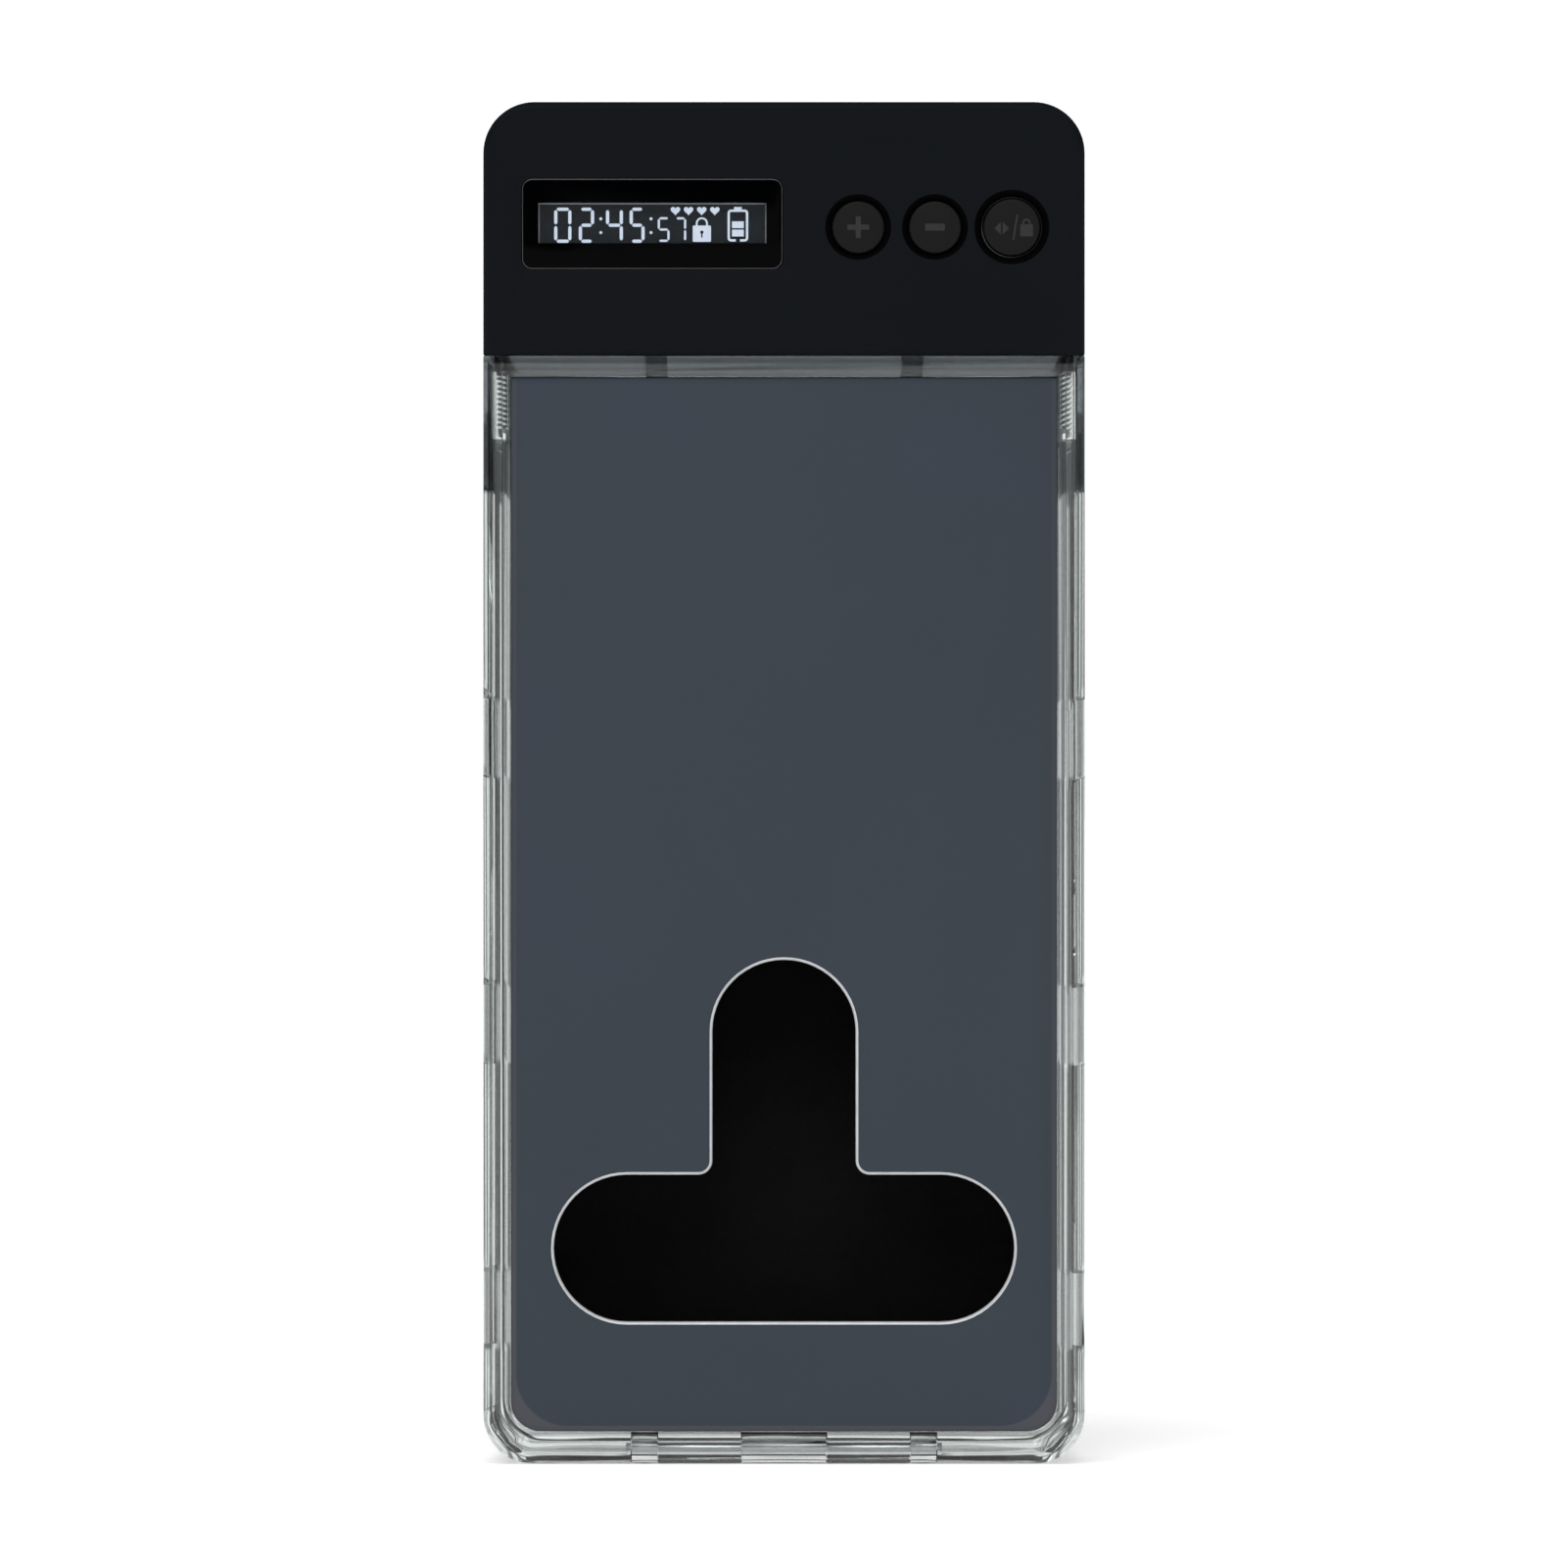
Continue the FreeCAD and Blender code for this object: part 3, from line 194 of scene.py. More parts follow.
FLOOR_SIZE = 60
FLOOR_GLOW = 0.45
bpy.ops.mesh.primitive_plane_add(size=FLOOR_SIZE)
floor = bpy.context.object
floor.name = "studio_floor"
floor.data.transform(floor.matrix_world)
floor_paint, _ = finish("floor_paint", {
    "Base Color": (0.92, 0.92, 0.92, 1), "Emission Color": (1, 1, 1, 1), "Emission Strength": FLOOR_GLOW,
    "Roughness": 0.9, "Specular IOR Level": 0,
})
floor.data.materials.append(floor_paint)

# The clear tray: back, side walls with four windows each, floor, screw bosses and half of the hinge's
# knuckles. One moulding of clear polycarbonate with polished faces and slightly broken edges.
MERGE_GAP = 0.002 * MM
FLAT_ANGLE = 0.5
SHARP_ANGLE = 28
TRAY_EDGE = 0.15 * MM


def only(piece):
    """Makes one piece the only one that is selected."""
    bpy.ops.object.select_all(action="DESELECT")
    piece.select_set(True)
    bpy.context.view_layer.objects.active = piece


def pick(piece, kind, test):
    """Opens a piece for editing with the faces or edges selected whose corner places pass the test."""
    only(piece)
    bpy.ops.object.mode_set(mode="EDIT")
    bpy.ops.mesh.select_mode(type=kind)
    bpy.ops.mesh.select_all(action="DESELECT")
    bpy.ops.object.mode_set(mode="OBJECT")
    corners = piece.data.vertices
    items = piece.data.polygons if kind == "FACE" else piece.data.edges
    for item in items:
        item.select = test([corners[index].co for index in item.vertices])
    bpy.ops.object.mode_set(mode="EDIT")


def put_modifier(piece, kind, **settings):
    """Adds a modifier and applies it."""
    only(piece)
    modifier = piece.modifiers.new("change", kind)
    for name, value in settings.items():
        setattr(modifier, name, value)
    bpy.ops.object.modifier_apply(modifier="change")


def smooth(piece, angle=30):
    only(piece)
    bpy.ops.object.shade_smooth_by_angle(angle=math.radians(angle))


def clean_copy(node, name):
    """A copy of a CAD node's mesh, with its loose triangles merged into whole faces."""
    piece = bpy.data.objects.new(name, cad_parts[node].data.copy())
    bpy.context.collection.objects.link(piece)
    only(piece)
    bpy.ops.mesh.customdata_custom_splitnormals_clear()
    bpy.ops.object.mode_set(mode="EDIT")
    bpy.ops.mesh.select_all(action="SELECT")
    bpy.ops.mesh.remove_doubles(threshold=MERGE_GAP)
    bpy.ops.mesh.dissolve_limited(angle_limit=math.radians(FLAT_ANGLE))
    bpy.ops.object.mode_set(mode="OBJECT")
    return piece


def moulded_copy(node, name, edge, segments=2):
    """A clean copy whose sharp edges are rounded by this radius."""
    piece = clean_copy(node, name)
    put_modifier(
        piece, "BEVEL", width=edge, segments=segments, limit_method="ANGLE",
        angle_limit=math.radians(SHARP_ANGLE), use_clamp_overlap=True,
    )
    smooth(piece)
    return piece


def settle(piece, body, slot, material, *replaced):
    """Gives a finished piece its material and its body, and hides the CAD nodes that it stands for."""
    piece.data.materials.clear()
    piece.data.materials.append(material)
    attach(piece, body)
    if replaced:
        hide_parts(*replaced)


def past_corner(at, side, level):
    """How far a place lies past a half width, under a level, and from the corner where the two meet."""
    beside = at.math("MAXIMUM", abs(at.axis("X")) - side, 0.0)
    below = at.math("MAXIMUM", level - at.axis("Z"), 0.0)
    return beside, below, at.math("SQRT", beside * beside + below * below)


def painted_wall_shade(distance, walls):
    """A painted shade that darkens where walls stand one behind another: each wall has two sides and a
    depth.
    """
    tint_and_shade = 1
    for start, end, depth in walls:
        into = distance.soft((start - WALL_SHADE_FADE) * MM, (start + WALL_SHADE_FADE) * MM)
        past = distance.soft((end - WALL_SHADE_FADE) * MM, (end + WALL_SHADE_FADE) * MM)
        tint_and_shade = tint_and_shade * (1 - into * (1 - past) * depth)
    return tint_and_shade


# The rim's walls from its outside inwards, in millimetres: beside a window, between two windows, along the
# floor and under the head. Each has its two sides and how deep a painted shade darkens it, as dark lines
# where the nested walls stand one behind another.
WALL_SHADE_FADE = 0.07
WINDOW_WALLS = ((1.2, 1.4, 0.3), (1.75, 2.6, 0.72), (3.2, 3.7, 0.74), (3.7, 4.5, 0.3))
PILLAR_WALLS = ((0.4, 1.35, 0.46), (1.75, 2.65, 0.36), (2.9, 3.7, 0.55))
FLOOR_WALLS = ((0.1, 0.35, 0.45), (0.8, 1.1, 0.78), (1.9, 2.6, 0.3), (3.3, 3.6, 0.25), (4.4, 5.2, 0.5))
HEAD_WALLS = ((0.7, 1.3, 0.34), (1.9, 2.2, 0.26))
WINDOW_PITCH = 44.7 * MM
PILLAR_LEVEL = 24.1 * MM
PILLAR_HALF = 6.1 * MM
PILLAR_FADE = 0.4 * MM
FLOOR_FADE = 3 * MM
HEAD_FLOOR = 173.5 * MM
# Above this level a painted reflection of the black head darkens the clear walls, except over the screws.
HEAD_REFLECTION_LEVEL = 152 * MM
HEAD_REFLECTION_FADE = 0.5 * MM
BOSS_LEVEL = 160.3 * MM
BOSS_TOP = 170.9 * MM
BOSS_OUTSIDE = 1.4 * MM
BOSS_INSIDE = 3.5 * MM
BOSS_FADE = 0.1 * MM
RIM_CORNER = 8.5 * MM
FACING_FRONT = (0.6, 0.9)
CLEAR = (0.86, 0.885, 0.88, 1)
PAINTED_HEAD_REFLECTION = (0.29, 0.31, 0.32, 1)
clear_plastic, at = finish("clear_plastic", {
    "Transmission Weight": 1, "IOR": 1.49, "Specular IOR Level": 0.5,
})
beside, below, from_corner = past_corner(at, cad_box[1][0] - RIM_CORNER, RIM_CORNER)
inwards = RIM_CORNER - from_corner
to_pillar = at.math("PINGPONG", at.axis("Z") - PILLAR_LEVEL, WINDOW_PITCH / 2)
is_pillar = to_pillar.soft(PILLAR_HALF + PILLAR_FADE, PILLAR_HALF - PILLAR_FADE)
is_floor = (below - beside).soft(-FLOOR_FADE, FLOOR_FADE) * below.above(0)
sides = is_pillar * painted_wall_shade(inwards, PILLAR_WALLS) + (1 - is_pillar) * painted_wall_shade(inwards, WINDOW_WALLS)
lines = is_floor * painted_wall_shade(inwards, FLOOR_WALLS) + (1 - is_floor) * sides
lines = lines * painted_wall_shade(HEAD_FLOOR - at.axis("Z"), HEAD_WALLS)
facing = abs(at.node("ShaderNodeNewGeometry", {}, {}, "True Normal").axis("Y")).soft(*FACING_FRONT)
over_screw = inwards.soft(BOSS_OUTSIDE - BOSS_FADE, BOSS_OUTSIDE + BOSS_FADE)
over_screw = over_screw * inwards.soft(BOSS_INSIDE + BOSS_FADE, BOSS_INSIDE - BOSS_FADE)
over_screw = over_screw * at.axis("Z").above(BOSS_LEVEL) * (BOSS_TOP - at.axis("Z")).above(0)
lines = over_screw + (1 - over_screw) * lines
# Painted reflection of the black head: darker above its level and lifted over the screws.
head_reflection = at.axis("Z").soft(HEAD_REFLECTION_LEVEL - HEAD_REFLECTION_FADE, HEAD_REFLECTION_LEVEL + HEAD_REFLECTION_FADE) * (1 - over_screw)
tint_and_shade = head_reflection.blend(CLEAR, PAINTED_HEAD_REFLECTION)
# The painted wall shade darkens only the faces that look to the front or the back.
shade = 1 - facing * (1 - lines)
tint_and_shade.node("ShaderNodeVectorMath", {"operation": "SCALE"}, {0: tint_and_shade, "Scale": shade}).feeds("Base Color")
(at.grain(5 * MM) * 0.03 + 0.005).feeds("Roughness")
at.grain(14 * MM, 1.0).raises(0.15 * MM, 0.3)

tray = moulded_copy("clear_tray", "tray_moulding", TRAY_EDGE)
settle(tray, "case", "clear_plastic", clear_plastic, "clear_tray")

# The foam sheet that the phone lies against: closed-cell black foam, cut with round corners and stuck to
# the tray's back. Its edge is soft, and its skin shows fine cells.
FOAM_CORNER = 5 * MM
FOAM_EDGE = 0.7 * MM
FOAM_CELL = 0.45 * MM
TOUCH = 0.01 * MM
foam, at = finish("black_foam", {"Roughness": 0.95, "Specular IOR Level": 0.08})
at.grain(9 * MM, 3.0).blend((0.0022, 0.0022, 0.0024, 1), (0.0042, 0.0042, 0.0046, 1)).feeds("Base Color")
cells = at.node("ShaderNodeTexVoronoi", {"feature": "SMOOTH_F1"}, {"Vector": at, "Scale": 1 / FOAM_CELL})
cells.raises(0.12 * MM, 0.6)


def placed():
    """Puts a new primitive's place, turn and size into its mesh."""
    bpy.ops.object.transform_apply(location=True, rotation=True, scale=True)
    return bpy.context.object


def slab(low, high):
    """A block between two corners."""
    bpy.ops.mesh.primitive_cube_add(
        size=1, location=[(a + b) / 2 for a, b in zip(low, high)], scale=[b - a for a, b in zip(low, high)]
    )
    return placed()


def along(axis):
    """Picks the edges that run along an axis."""
    return lambda ends: abs((ends[1] - ends[0]).normalized()[axis]) > 0.99


def flat_at(axis, level):
    """Picks what lies wholly on a plane across an axis."""
    return lambda corners: all(abs(corner[axis] - level) < TOUCH for corner in corners)


def round_picked(radius, segments):
    """Rounds the edges that are picked, and closes the edit."""
    bpy.ops.mesh.bevel(offset=radius, segments=segments, affect="EDGES", profile=0.5)
    bpy.ops.object.mode_set(mode="OBJECT")


foam_low, foam_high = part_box("foam_liner")
liner = slab(foam_low, foam_high)
liner.name = "foam_sheet"
pick(liner, "EDGE", along(1))
round_picked(FOAM_CORNER, 10)
pick(liner, "EDGE", flat_at(1, foam_low.y))
round_picked(FOAM_EDGE, 4)
smooth(liner)
settle(liner, "case", "black_foam", foam, "foam_liner")

# The door frame: rebate, ledge, inner lip and outer skirt, with two hinge knuckles and the shelf that the
# bolts enter. It is one moulding of the same clear plastic, and its nested walls show as fine dark lines
# along the container's rim, painted as shade into the clear plastic's colour.
FRAME_EDGE = 0.12 * MM
rim = moulded_copy("door_frame", "door_moulding", FRAME_EDGE)
settle(rim, "door", "clear_plastic", clear_plastic, "door_frame")

# The smoked panel: a flat slate sheet glued into the frame's rebate. Its hand opening is an upside-down T
# whose edge is rounded and polished, and the thin bright line along that edge is a painted highlight in
# light grey.
PANEL_EDGE = 0.15 * MM
OPENING_EDGE = 0.42 * MM
OPENING_SIDE = 37 * MM
OPENING_LOW = 20 * MM
OPENING_HIGH = 81 * MM
LEDGE_SHOWS = 0.9 * MM
LEDGE_CORNER = 8 * MM
LEDGE_FADE = (0.15 * MM, 0.25 * MM)
LEDGE_LEVELS = (90 * MM, 15 * MM)
SLATE = (0.0415, 0.0520, 0.0650, 1)
GLINT_SLATE = (0.0450, 0.0555, 0.0765, 1)
LEDGE_SLATE = (0.0730, 0.0765, 0.0880, 1)
panel_low, panel_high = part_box("door_panel")
ledge_inset = LEDGE_SHOWS + LEDGE_CORNER
smoked, at = finish("smoked_plastic", {"Specular IOR Level": 0.05})
_, _, from_corner = past_corner(at, panel_high.x - ledge_inset, panel_low.z + ledge_inset)
over_ledge = from_corner.soft(LEDGE_CORNER - LEDGE_FADE[0], LEDGE_CORNER + LEDGE_FADE[1])
low_half = at.axis("Z").soft(*LEDGE_LEVELS) * 0.6 + 0.4
# Sparse bluer patches are painted glints on the slate.
blue_glint = at.math("POWER", at.grain(28 * MM, 1.0), 4.0)
(over_ledge * low_half).blend(blue_glint.blend(SLATE, GLINT_SLATE), LEDGE_SLATE).feeds("Base Color")
(at.grain(3 * MM) * 0.08 + 0.42).feeds("Roughness")
at.grain(0.3 * MM).raises(0.004 * MM, 0.5)

# The T opening's edge is painted light grey as a highlight.
opening_edge_highlight, at = finish("opening_edge_highlight", {"Specular IOR Level": 0.6})
at.grain(2 * MM).blend((0.42, 0.43, 0.45, 1), (0.62, 0.63, 0.65, 1)).feeds("Base Color")
(at.grain(1 * MM) * 0.1 + 0.2).feeds("Roughness")

panel = clean_copy("door_panel", "smoked_panel")
on_panel_front = flat_at(1, panel_low.y)


def by_hand_opening(corner):
    return abs(corner.x) < OPENING_SIDE and OPENING_LOW < corner.z < OPENING_HIGH


pick(panel, "EDGE", lambda ends: on_panel_front(ends) and not any(map(by_hand_opening, ends)))
round_picked(PANEL_EDGE, 2)
pick(panel, "EDGE", lambda ends: on_panel_front(ends) and all(map(by_hand_opening, ends)))
round_picked(OPENING_EDGE, 3)
settle(panel, "door", "smoked_plastic", smoked, "door_panel")
panel.data.materials.append(opening_edge_highlight)
for face in panel.data.polygons:
    if by_hand_opening(face.center) and abs(face.normal.y) < 0.995:
        face.material_index = 1
smooth(panel, 40)

# The hinge pin, the two bolts and the motor's shaft: ground steel rod, bright and a little streaked. They
# are plain rods, so they keep the meshes of their solids.
steel, at = finish("steel", {"Metallic": 1, "Base Color": (0.56, 0.57, 0.58, 1)})
streaks = at.node("ShaderNodeMapping", {}, {"Vector": at, "Scale": (0.1, 1, 1)})
(streaks.grain(0.25 * MM) * 0.18 + 0.22).feeds("Roughness")


def dress(material, *nodes):
    """Gives CAD nodes that keep their own mesh a better material."""
    for node in nodes:
        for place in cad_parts[node].material_slots:
            place.material = material


dress(steel, "hinge_pin", "left_bolt", "right_bolt", "drive_shaft")

# The two long body screws: zinc-plated steel with a pan head and a coarse thread for plastic. They go down
# through the plate into the tray's bosses. Their thread's crests carry a painted highlight and a painted
# glow, and its roots a painted shade, so that they show through the clear walls.
PAN_RADIUS = 1.7 * MM
PAN_HEIGHT = 1.4 * MM
PAN_ROUND = 0.5 * MM
THREAD_CORE = 0.62 * MM
THREAD_CREST = 0.93 * MM
THREAD_PITCH = 0.8 * MM
THREAD_STEPS = 20
GLOWING_CREST = (0.70 * MM, 0.86 * MM)
TIP_LENGTH = 1.2 * MM
TIP_RADIUS = 0.1 * MM
TIP_THREAD = 0.6
DRIVE_HALF = 0.175 * MM
DRIVE_REACH = 0.95 * MM
DRIVE_DEPTH = 0.7 * MM
screw_low, screw_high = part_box("body_screws")
head_floor = screw_high.z - PAN_HEIGHT
screw_side = screw_high.x - PAN_RADIUS
screw_place = (screw_low.y + screw_high.y) / 2
zinc, at = finish("zinc_plate", {"Metallic": 1})
at.grain(0.8 * MM).blend((0.50, 0.51, 0.52, 1), (0.66, 0.67, 0.68, 1)).feeds("Base Color")
(at.grain(0.3 * MM) * 0.15 + 0.25).feeds("Roughness")
# Painted light on the thread: its crests are painted bright and glow, and its roots are painted dark as
# shade.
glowing_thread_zinc, at = finish("glowing_thread_zinc", {"Metallic": 1, "Emission Strength": 0.6, "Roughness": 0.3})
outwards = abs(at.axis("X")) - screw_side
inside_y = at.axis("Y") - screw_place
radius = at.math("SQRT", outwards * outwards + inside_y * inside_y)
crest_glow = radius.soft(*GLOWING_CREST) * (at.grain(1.5 * MM) * 0.6 + 0.6)
crest_glow.blend((0.10, 0.10, 0.10, 1), (0.72, 0.73, 0.74, 1)).feeds("Base Color")
crest_glow.blend((0.004, 0.004, 0.004, 1), (0.62, 0.64, 0.64, 1)).feeds("Emission Color")


def rod(radius, low, high, across, along_y, vertices=24, top=None):
    """An upright rod or cone between two levels."""
    bpy.ops.mesh.primitive_cone_add(
        vertices=vertices, radius1=radius, radius2=radius if top is None else top, depth=high - low,
        location=(across, along_y, (low + high) / 2),
    )
    return placed()


def join(name, *pieces):
    """Joins pieces into one object."""
    bpy.ops.object.select_all(action="DESELECT")
    for piece in pieces:
        piece.select_set(True)
    bpy.context.view_layer.objects.active = pieces[0]
    bpy.ops.object.join()
    pieces[0].name = name
    return pieces[0]


def cross_cutter(x, y, z):
    """Two crossed blades that cut a cross recess down into a screw's head."""
    blades = [
        slab((x - a, y - b, z - DRIVE_DEPTH), (x + a, y + b, z + DRIVE_DEPTH))
        for a, b in ((DRIVE_REACH, DRIVE_HALF), (DRIVE_HALF, DRIVE_REACH))
    ]
    put_modifier(blades[0], "BOOLEAN", operation="UNION", object=blades[1])
    bpy.data.objects.remove(blades[1])
    return blades[0]


def cut_away(piece, cutter):
    """Cuts a shape out of a piece and removes the cutter."""
    put_modifier(piece, "BOOLEAN", operation="DIFFERENCE", object=cutter)
    bpy.data.objects.remove(cutter)


def thread_ridge(across, low):
    """The thread's ridge: a small triangle that is wound up around the core."""
    bpy.ops.mesh.primitive_circle_add(
        vertices=3, radius=(THREAD_CREST - THREAD_CORE) * 0.75, fill_type="NOTHING",
        rotation=(math.radians(90), 0, math.radians(-90)),
    )
    ridge = placed()
    reach = max(corner.co.x for corner in ridge.data.vertices)
    for corner in ridge.data.vertices:
        corner.co = Vector((THREAD_CREST + corner.co.x - reach, 0, corner.co.z))
    turns = int((head_floor - low) / THREAD_PITCH)
    put_modifier(
        ridge, "SCREW", axis="Z", screw_offset=THREAD_PITCH, iterations=turns, steps=THREAD_STEPS,
        render_steps=THREAD_STEPS, use_merge_vertices=False,
    )
    bpy.ops.object.mode_set(mode="EDIT")
    bpy.ops.mesh.select_all(action="SELECT")
    bpy.ops.mesh.fill_holes(sides=4)
    bpy.ops.mesh.select_all(action="SELECT")
    bpy.ops.mesh.normals_make_consistent(inside=False)
    bpy.ops.object.mode_set(mode="OBJECT")
    ridge.location = (across, screw_place, low - TIP_LENGTH * (1 - TIP_THREAD))
    return placed()


def threaded_screw(across):
    """A screw's pan head with its cross recess, its core, its tip and its thread."""
    head = rod(PAN_RADIUS, head_floor, screw_high.z, across, screw_place, 32)
    pick(head, "EDGE", flat_at(2, screw_high.z))
    round_picked(PAN_ROUND, 4)
    cut_away(head, cross_cutter(across, screw_place, screw_high.z))
    tip_top = screw_low.z + TIP_LENGTH
    core = rod(THREAD_CORE, tip_top, head_floor, across, screw_place)
    tip = rod(TIP_RADIUS, screw_low.z, tip_top, across, screw_place, top=THREAD_CORE)
    return [head, core, tip, thread_ridge(across, tip_top)]


screws = threaded_screw(-screw_side) + threaded_screw(screw_side)
threaded = join("threaded_body_screws", *screws)
smooth(threaded, 35)
settle(threaded, "case", "steel", zinc, "body_screws")
threaded.data.materials.append(glowing_thread_zinc)
for face in threaded.data.polygons:
    if face.center.z < head_floor - TOUCH:
        face.material_index = 1

# The head's front shell: a black moulding with a satin skin, a recess for the lens and three dished button
# holes. Its skin is finely grained, so that it shows a soft sheen and no sharp reflections.
HEAD_EDGE = 0.22 * MM
DISH_REACH = 6.1 * MM
DISH_START = 0.15 * MM
shell_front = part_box("head_front_shell")[0].y
button_boxes = {key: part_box(f"{key}_button") for key in ("plus", "minus", "lock")}
button_middles = {key: (low + high) / 2 for key, (low, high) in button_boxes.items()}
satin_black, at = finish("black_shell", {"Specular IOR Level": 0.06})
at.grain(40 * MM, 1.0).blend((0.0028, 0.0038, 0.0056, 1), (0.0042, 0.0054, 0.0074, 1)).feeds("Base Color")
(at.grain(0.6 * MM) * 0.12 + 0.44).feeds("Roughness")
at.grain(0.16 * MM).raises(0.012 * MM, 0.5)

front_shell = moulded_copy("head_front_shell", "front_shell", HEAD_EDGE, 3)
settle(front_shell, "case", "black_shell", satin_black, "head_front_shell")
# Painted shade: the faces inside the button dishes are near black, darker than the shell around them.
dish_painted_shade, at = finish("dish_painted_shade", {"Specular IOR Level": 0.02})
at.grain(1 * MM).blend((0.0006, 0.0006, 0.0008, 1), (0.0012, 0.0012, 0.0014, 1)).feeds("Base Color")
(at.grain(0.5 * MM) * 0.1 + 0.6).feeds("Roughness")
front_shell.data.materials.append(dish_painted_shade)
for face in front_shell.data.polygons:
    x, y, z = face.center
    away = min(math.hypot(x - dish.x, z - dish.z) for dish in button_middles.values())
    if away < DISH_REACH and y > shell_front + DISH_START:
        face.material_index = 1

# The third button's hole has a polished edge: a thin bright ring on the black moulding, a little behind the
# shell's front. Its lower left is painted lighter, as a painted highlight.
HOLE_RADIUS = 4.68 * MM
HOLE_EDGE = 0.09 * MM
HOLE_EDGE_DEPTH = 1.2 * MM
ring_middle = button_middles["lock"]
hole_edge_black_and_glint, at = finish("polished_hole_edge_painted_glint", {"Specular IOR Level": 0.3, "Roughness": 0.3})
# Painted highlight: the hole's edge is painted lighter towards its lower left.
to_lower_left = (ring_middle.x - at.axis("X")) + (ring_middle.z - at.axis("Z"))
glint = to_lower_left.soft(0.7 * HOLE_RADIUS, 1.35 * HOLE_RADIUS)
glint.blend((0.0060, 0.0060, 0.0070, 1), (0.070, 0.070, 0.076, 1)).feeds("Base Color")
bpy.ops.mesh.primitive_torus_add(
    major_radius=HOLE_RADIUS, minor_radius=HOLE_EDGE, major_segments=96, minor_segments=10,
    location=(ring_middle.x, shell_front + HOLE_EDGE_DEPTH, ring_middle.z),
    rotation=(math.radians(90), 0, 0),
)
hole_edge = placed()
hole_edge.name = "lock_hole_edge"
smooth(hole_edge, 60)
settle(hole_edge, "case", "black_shell", hole_edge_black_and_glint)

# The rear cover: a moulding of the same satin black plastic that closes the head from behind. It hooks in
# at the top and takes the two case screws below.
rear_cover = moulded_copy("head_rear_cover", "rear_cover", HEAD_EDGE, 3)
settle(rear_cover, "case", "black_shell", satin_black, "head_rear_cover")

# The two case screws: black oxide steel, countersunk flush with the rear cover, with a cross recess. They
# go forward into the front shell's bosses.
CASE_HEAD_RADIUS = 1.9 * MM
black_oxide, at = finish("black_oxide", {"Metallic": 1})
at.grain(0.5 * MM).blend((0.025, 0.025, 0.027, 1), (0.05, 0.05, 0.054, 1)).feeds("Base Color")
(at.grain(0.3 * MM) * 0.15 + 0.35).feeds("Roughness")
case_low, case_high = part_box("case_screws")
case_level = (case_low.z + case_high.z) / 2
rear_screws = clean_copy("case_screws", "cross_recess_screws")
for side in (-1, 1):
    x = side * (case_high.x - CASE_HEAD_RADIUS)
    deep, proud = case_high.y - DRIVE_DEPTH, case_high.y + DRIVE_DEPTH
    for a, b in ((DRIVE_REACH, DRIVE_HALF), (DRIVE_HALF, DRIVE_REACH)):
        cut_away(rear_screws, slab((x - a, deep, case_level - b), (x + a, proud, case_level + b)))
smooth(rear_screws)
settle(rear_screws, "case", "black_screw", black_oxide, "case_screws")

# The display's lens: a gloss acrylic plate with a black border printed behind it, clear over the sight
# opening. It lies in the front shell's recess, and its polished edge is painted grey as a thin highlight
# outline.
LENS_EDGE = 0.14 * MM
LENS_CLEARNESS = 0.93
SIGHT_WIDTH = 35.66 * MM
SIGHT_HEIGHT = 6.36 * MM
SIGHT_RISE = 0.17 * MM
lens_low, lens_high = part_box("display_window")
lens_middle = (lens_low.x + lens_high.x) / 2
sight_level = (lens_low.z + lens_high.z) / 2 + SIGHT_RISE
lens_black, at = finish("display_lens", {"IOR": 1.49, "Specular IOR Level": 0.03})
from_end = SIGHT_WIDTH / 2 - abs(at.axis("X") - lens_middle)
from_top = SIGHT_HEIGHT / 2 - abs(at.axis("Z") - sight_level)
(1 - from_end.above(0) * from_top.above(0) * LENS_CLEARNESS).feeds("Alpha")
at.grain(20 * MM).blend((0.0003, 0.0004, 0.0006, 1), (0.0006, 0.0007, 0.0010, 1)).feeds("Base Color")
(at.grain(4 * MM) * 0.02 + 0.05).feeds("Roughness")
# The lens's edge is painted grey as a highlight.
lens_edge_highlight, at = finish("lens_edge_painted_highlight", {"Specular IOR Level": 0.5})
at.grain(6 * MM).blend((0.035, 0.035, 0.037, 1), (0.065, 0.065, 0.067, 1)).feeds("Base Color")
(at.grain(1 * MM) * 0.1 + 0.25).feeds("Roughness")

lens = clean_copy("display_window", "lens_plate")
pick(lens, "EDGE", flat_at(1, lens_low.y))
round_picked(LENS_EDGE, 3)
settle(lens, "case", "display_lens", lens_black, "display_window")
lens.data.materials.append(lens_edge_highlight)
for face in lens.data.polygons:
    if abs(face.normal.y) < 0.99:
        face.material_index = 1
smooth(lens, 40)

# The liquid crystal glass behind the sight opening: dark slate, with a bright line of its backlight along
# its top and both ends. Its lit segments lie on its front: four large figures, two small ones and signs.
GLASS_LINE = 0.21 * MM
slate_glass, at = finish("display_glass", {"Roughness": 0.18, "Specular IOR Level": 0.2})
from_end = SIGHT_WIDTH / 2 - abs(at.axis("X") - lens_middle)
from_top = sight_level + SIGHT_HEIGHT / 2 - at.axis("Z")
at_edge = at.math("MAXIMUM", 1 - from_end.above(GLASS_LINE), 1 - from_top.above(GLASS_LINE))
at_edge.blend((0.0135, 0.0185, 0.0245, 1), (0.30, 0.30, 0.31, 1)).feeds("Base Color")
dress(slate_glass, "display_panel")

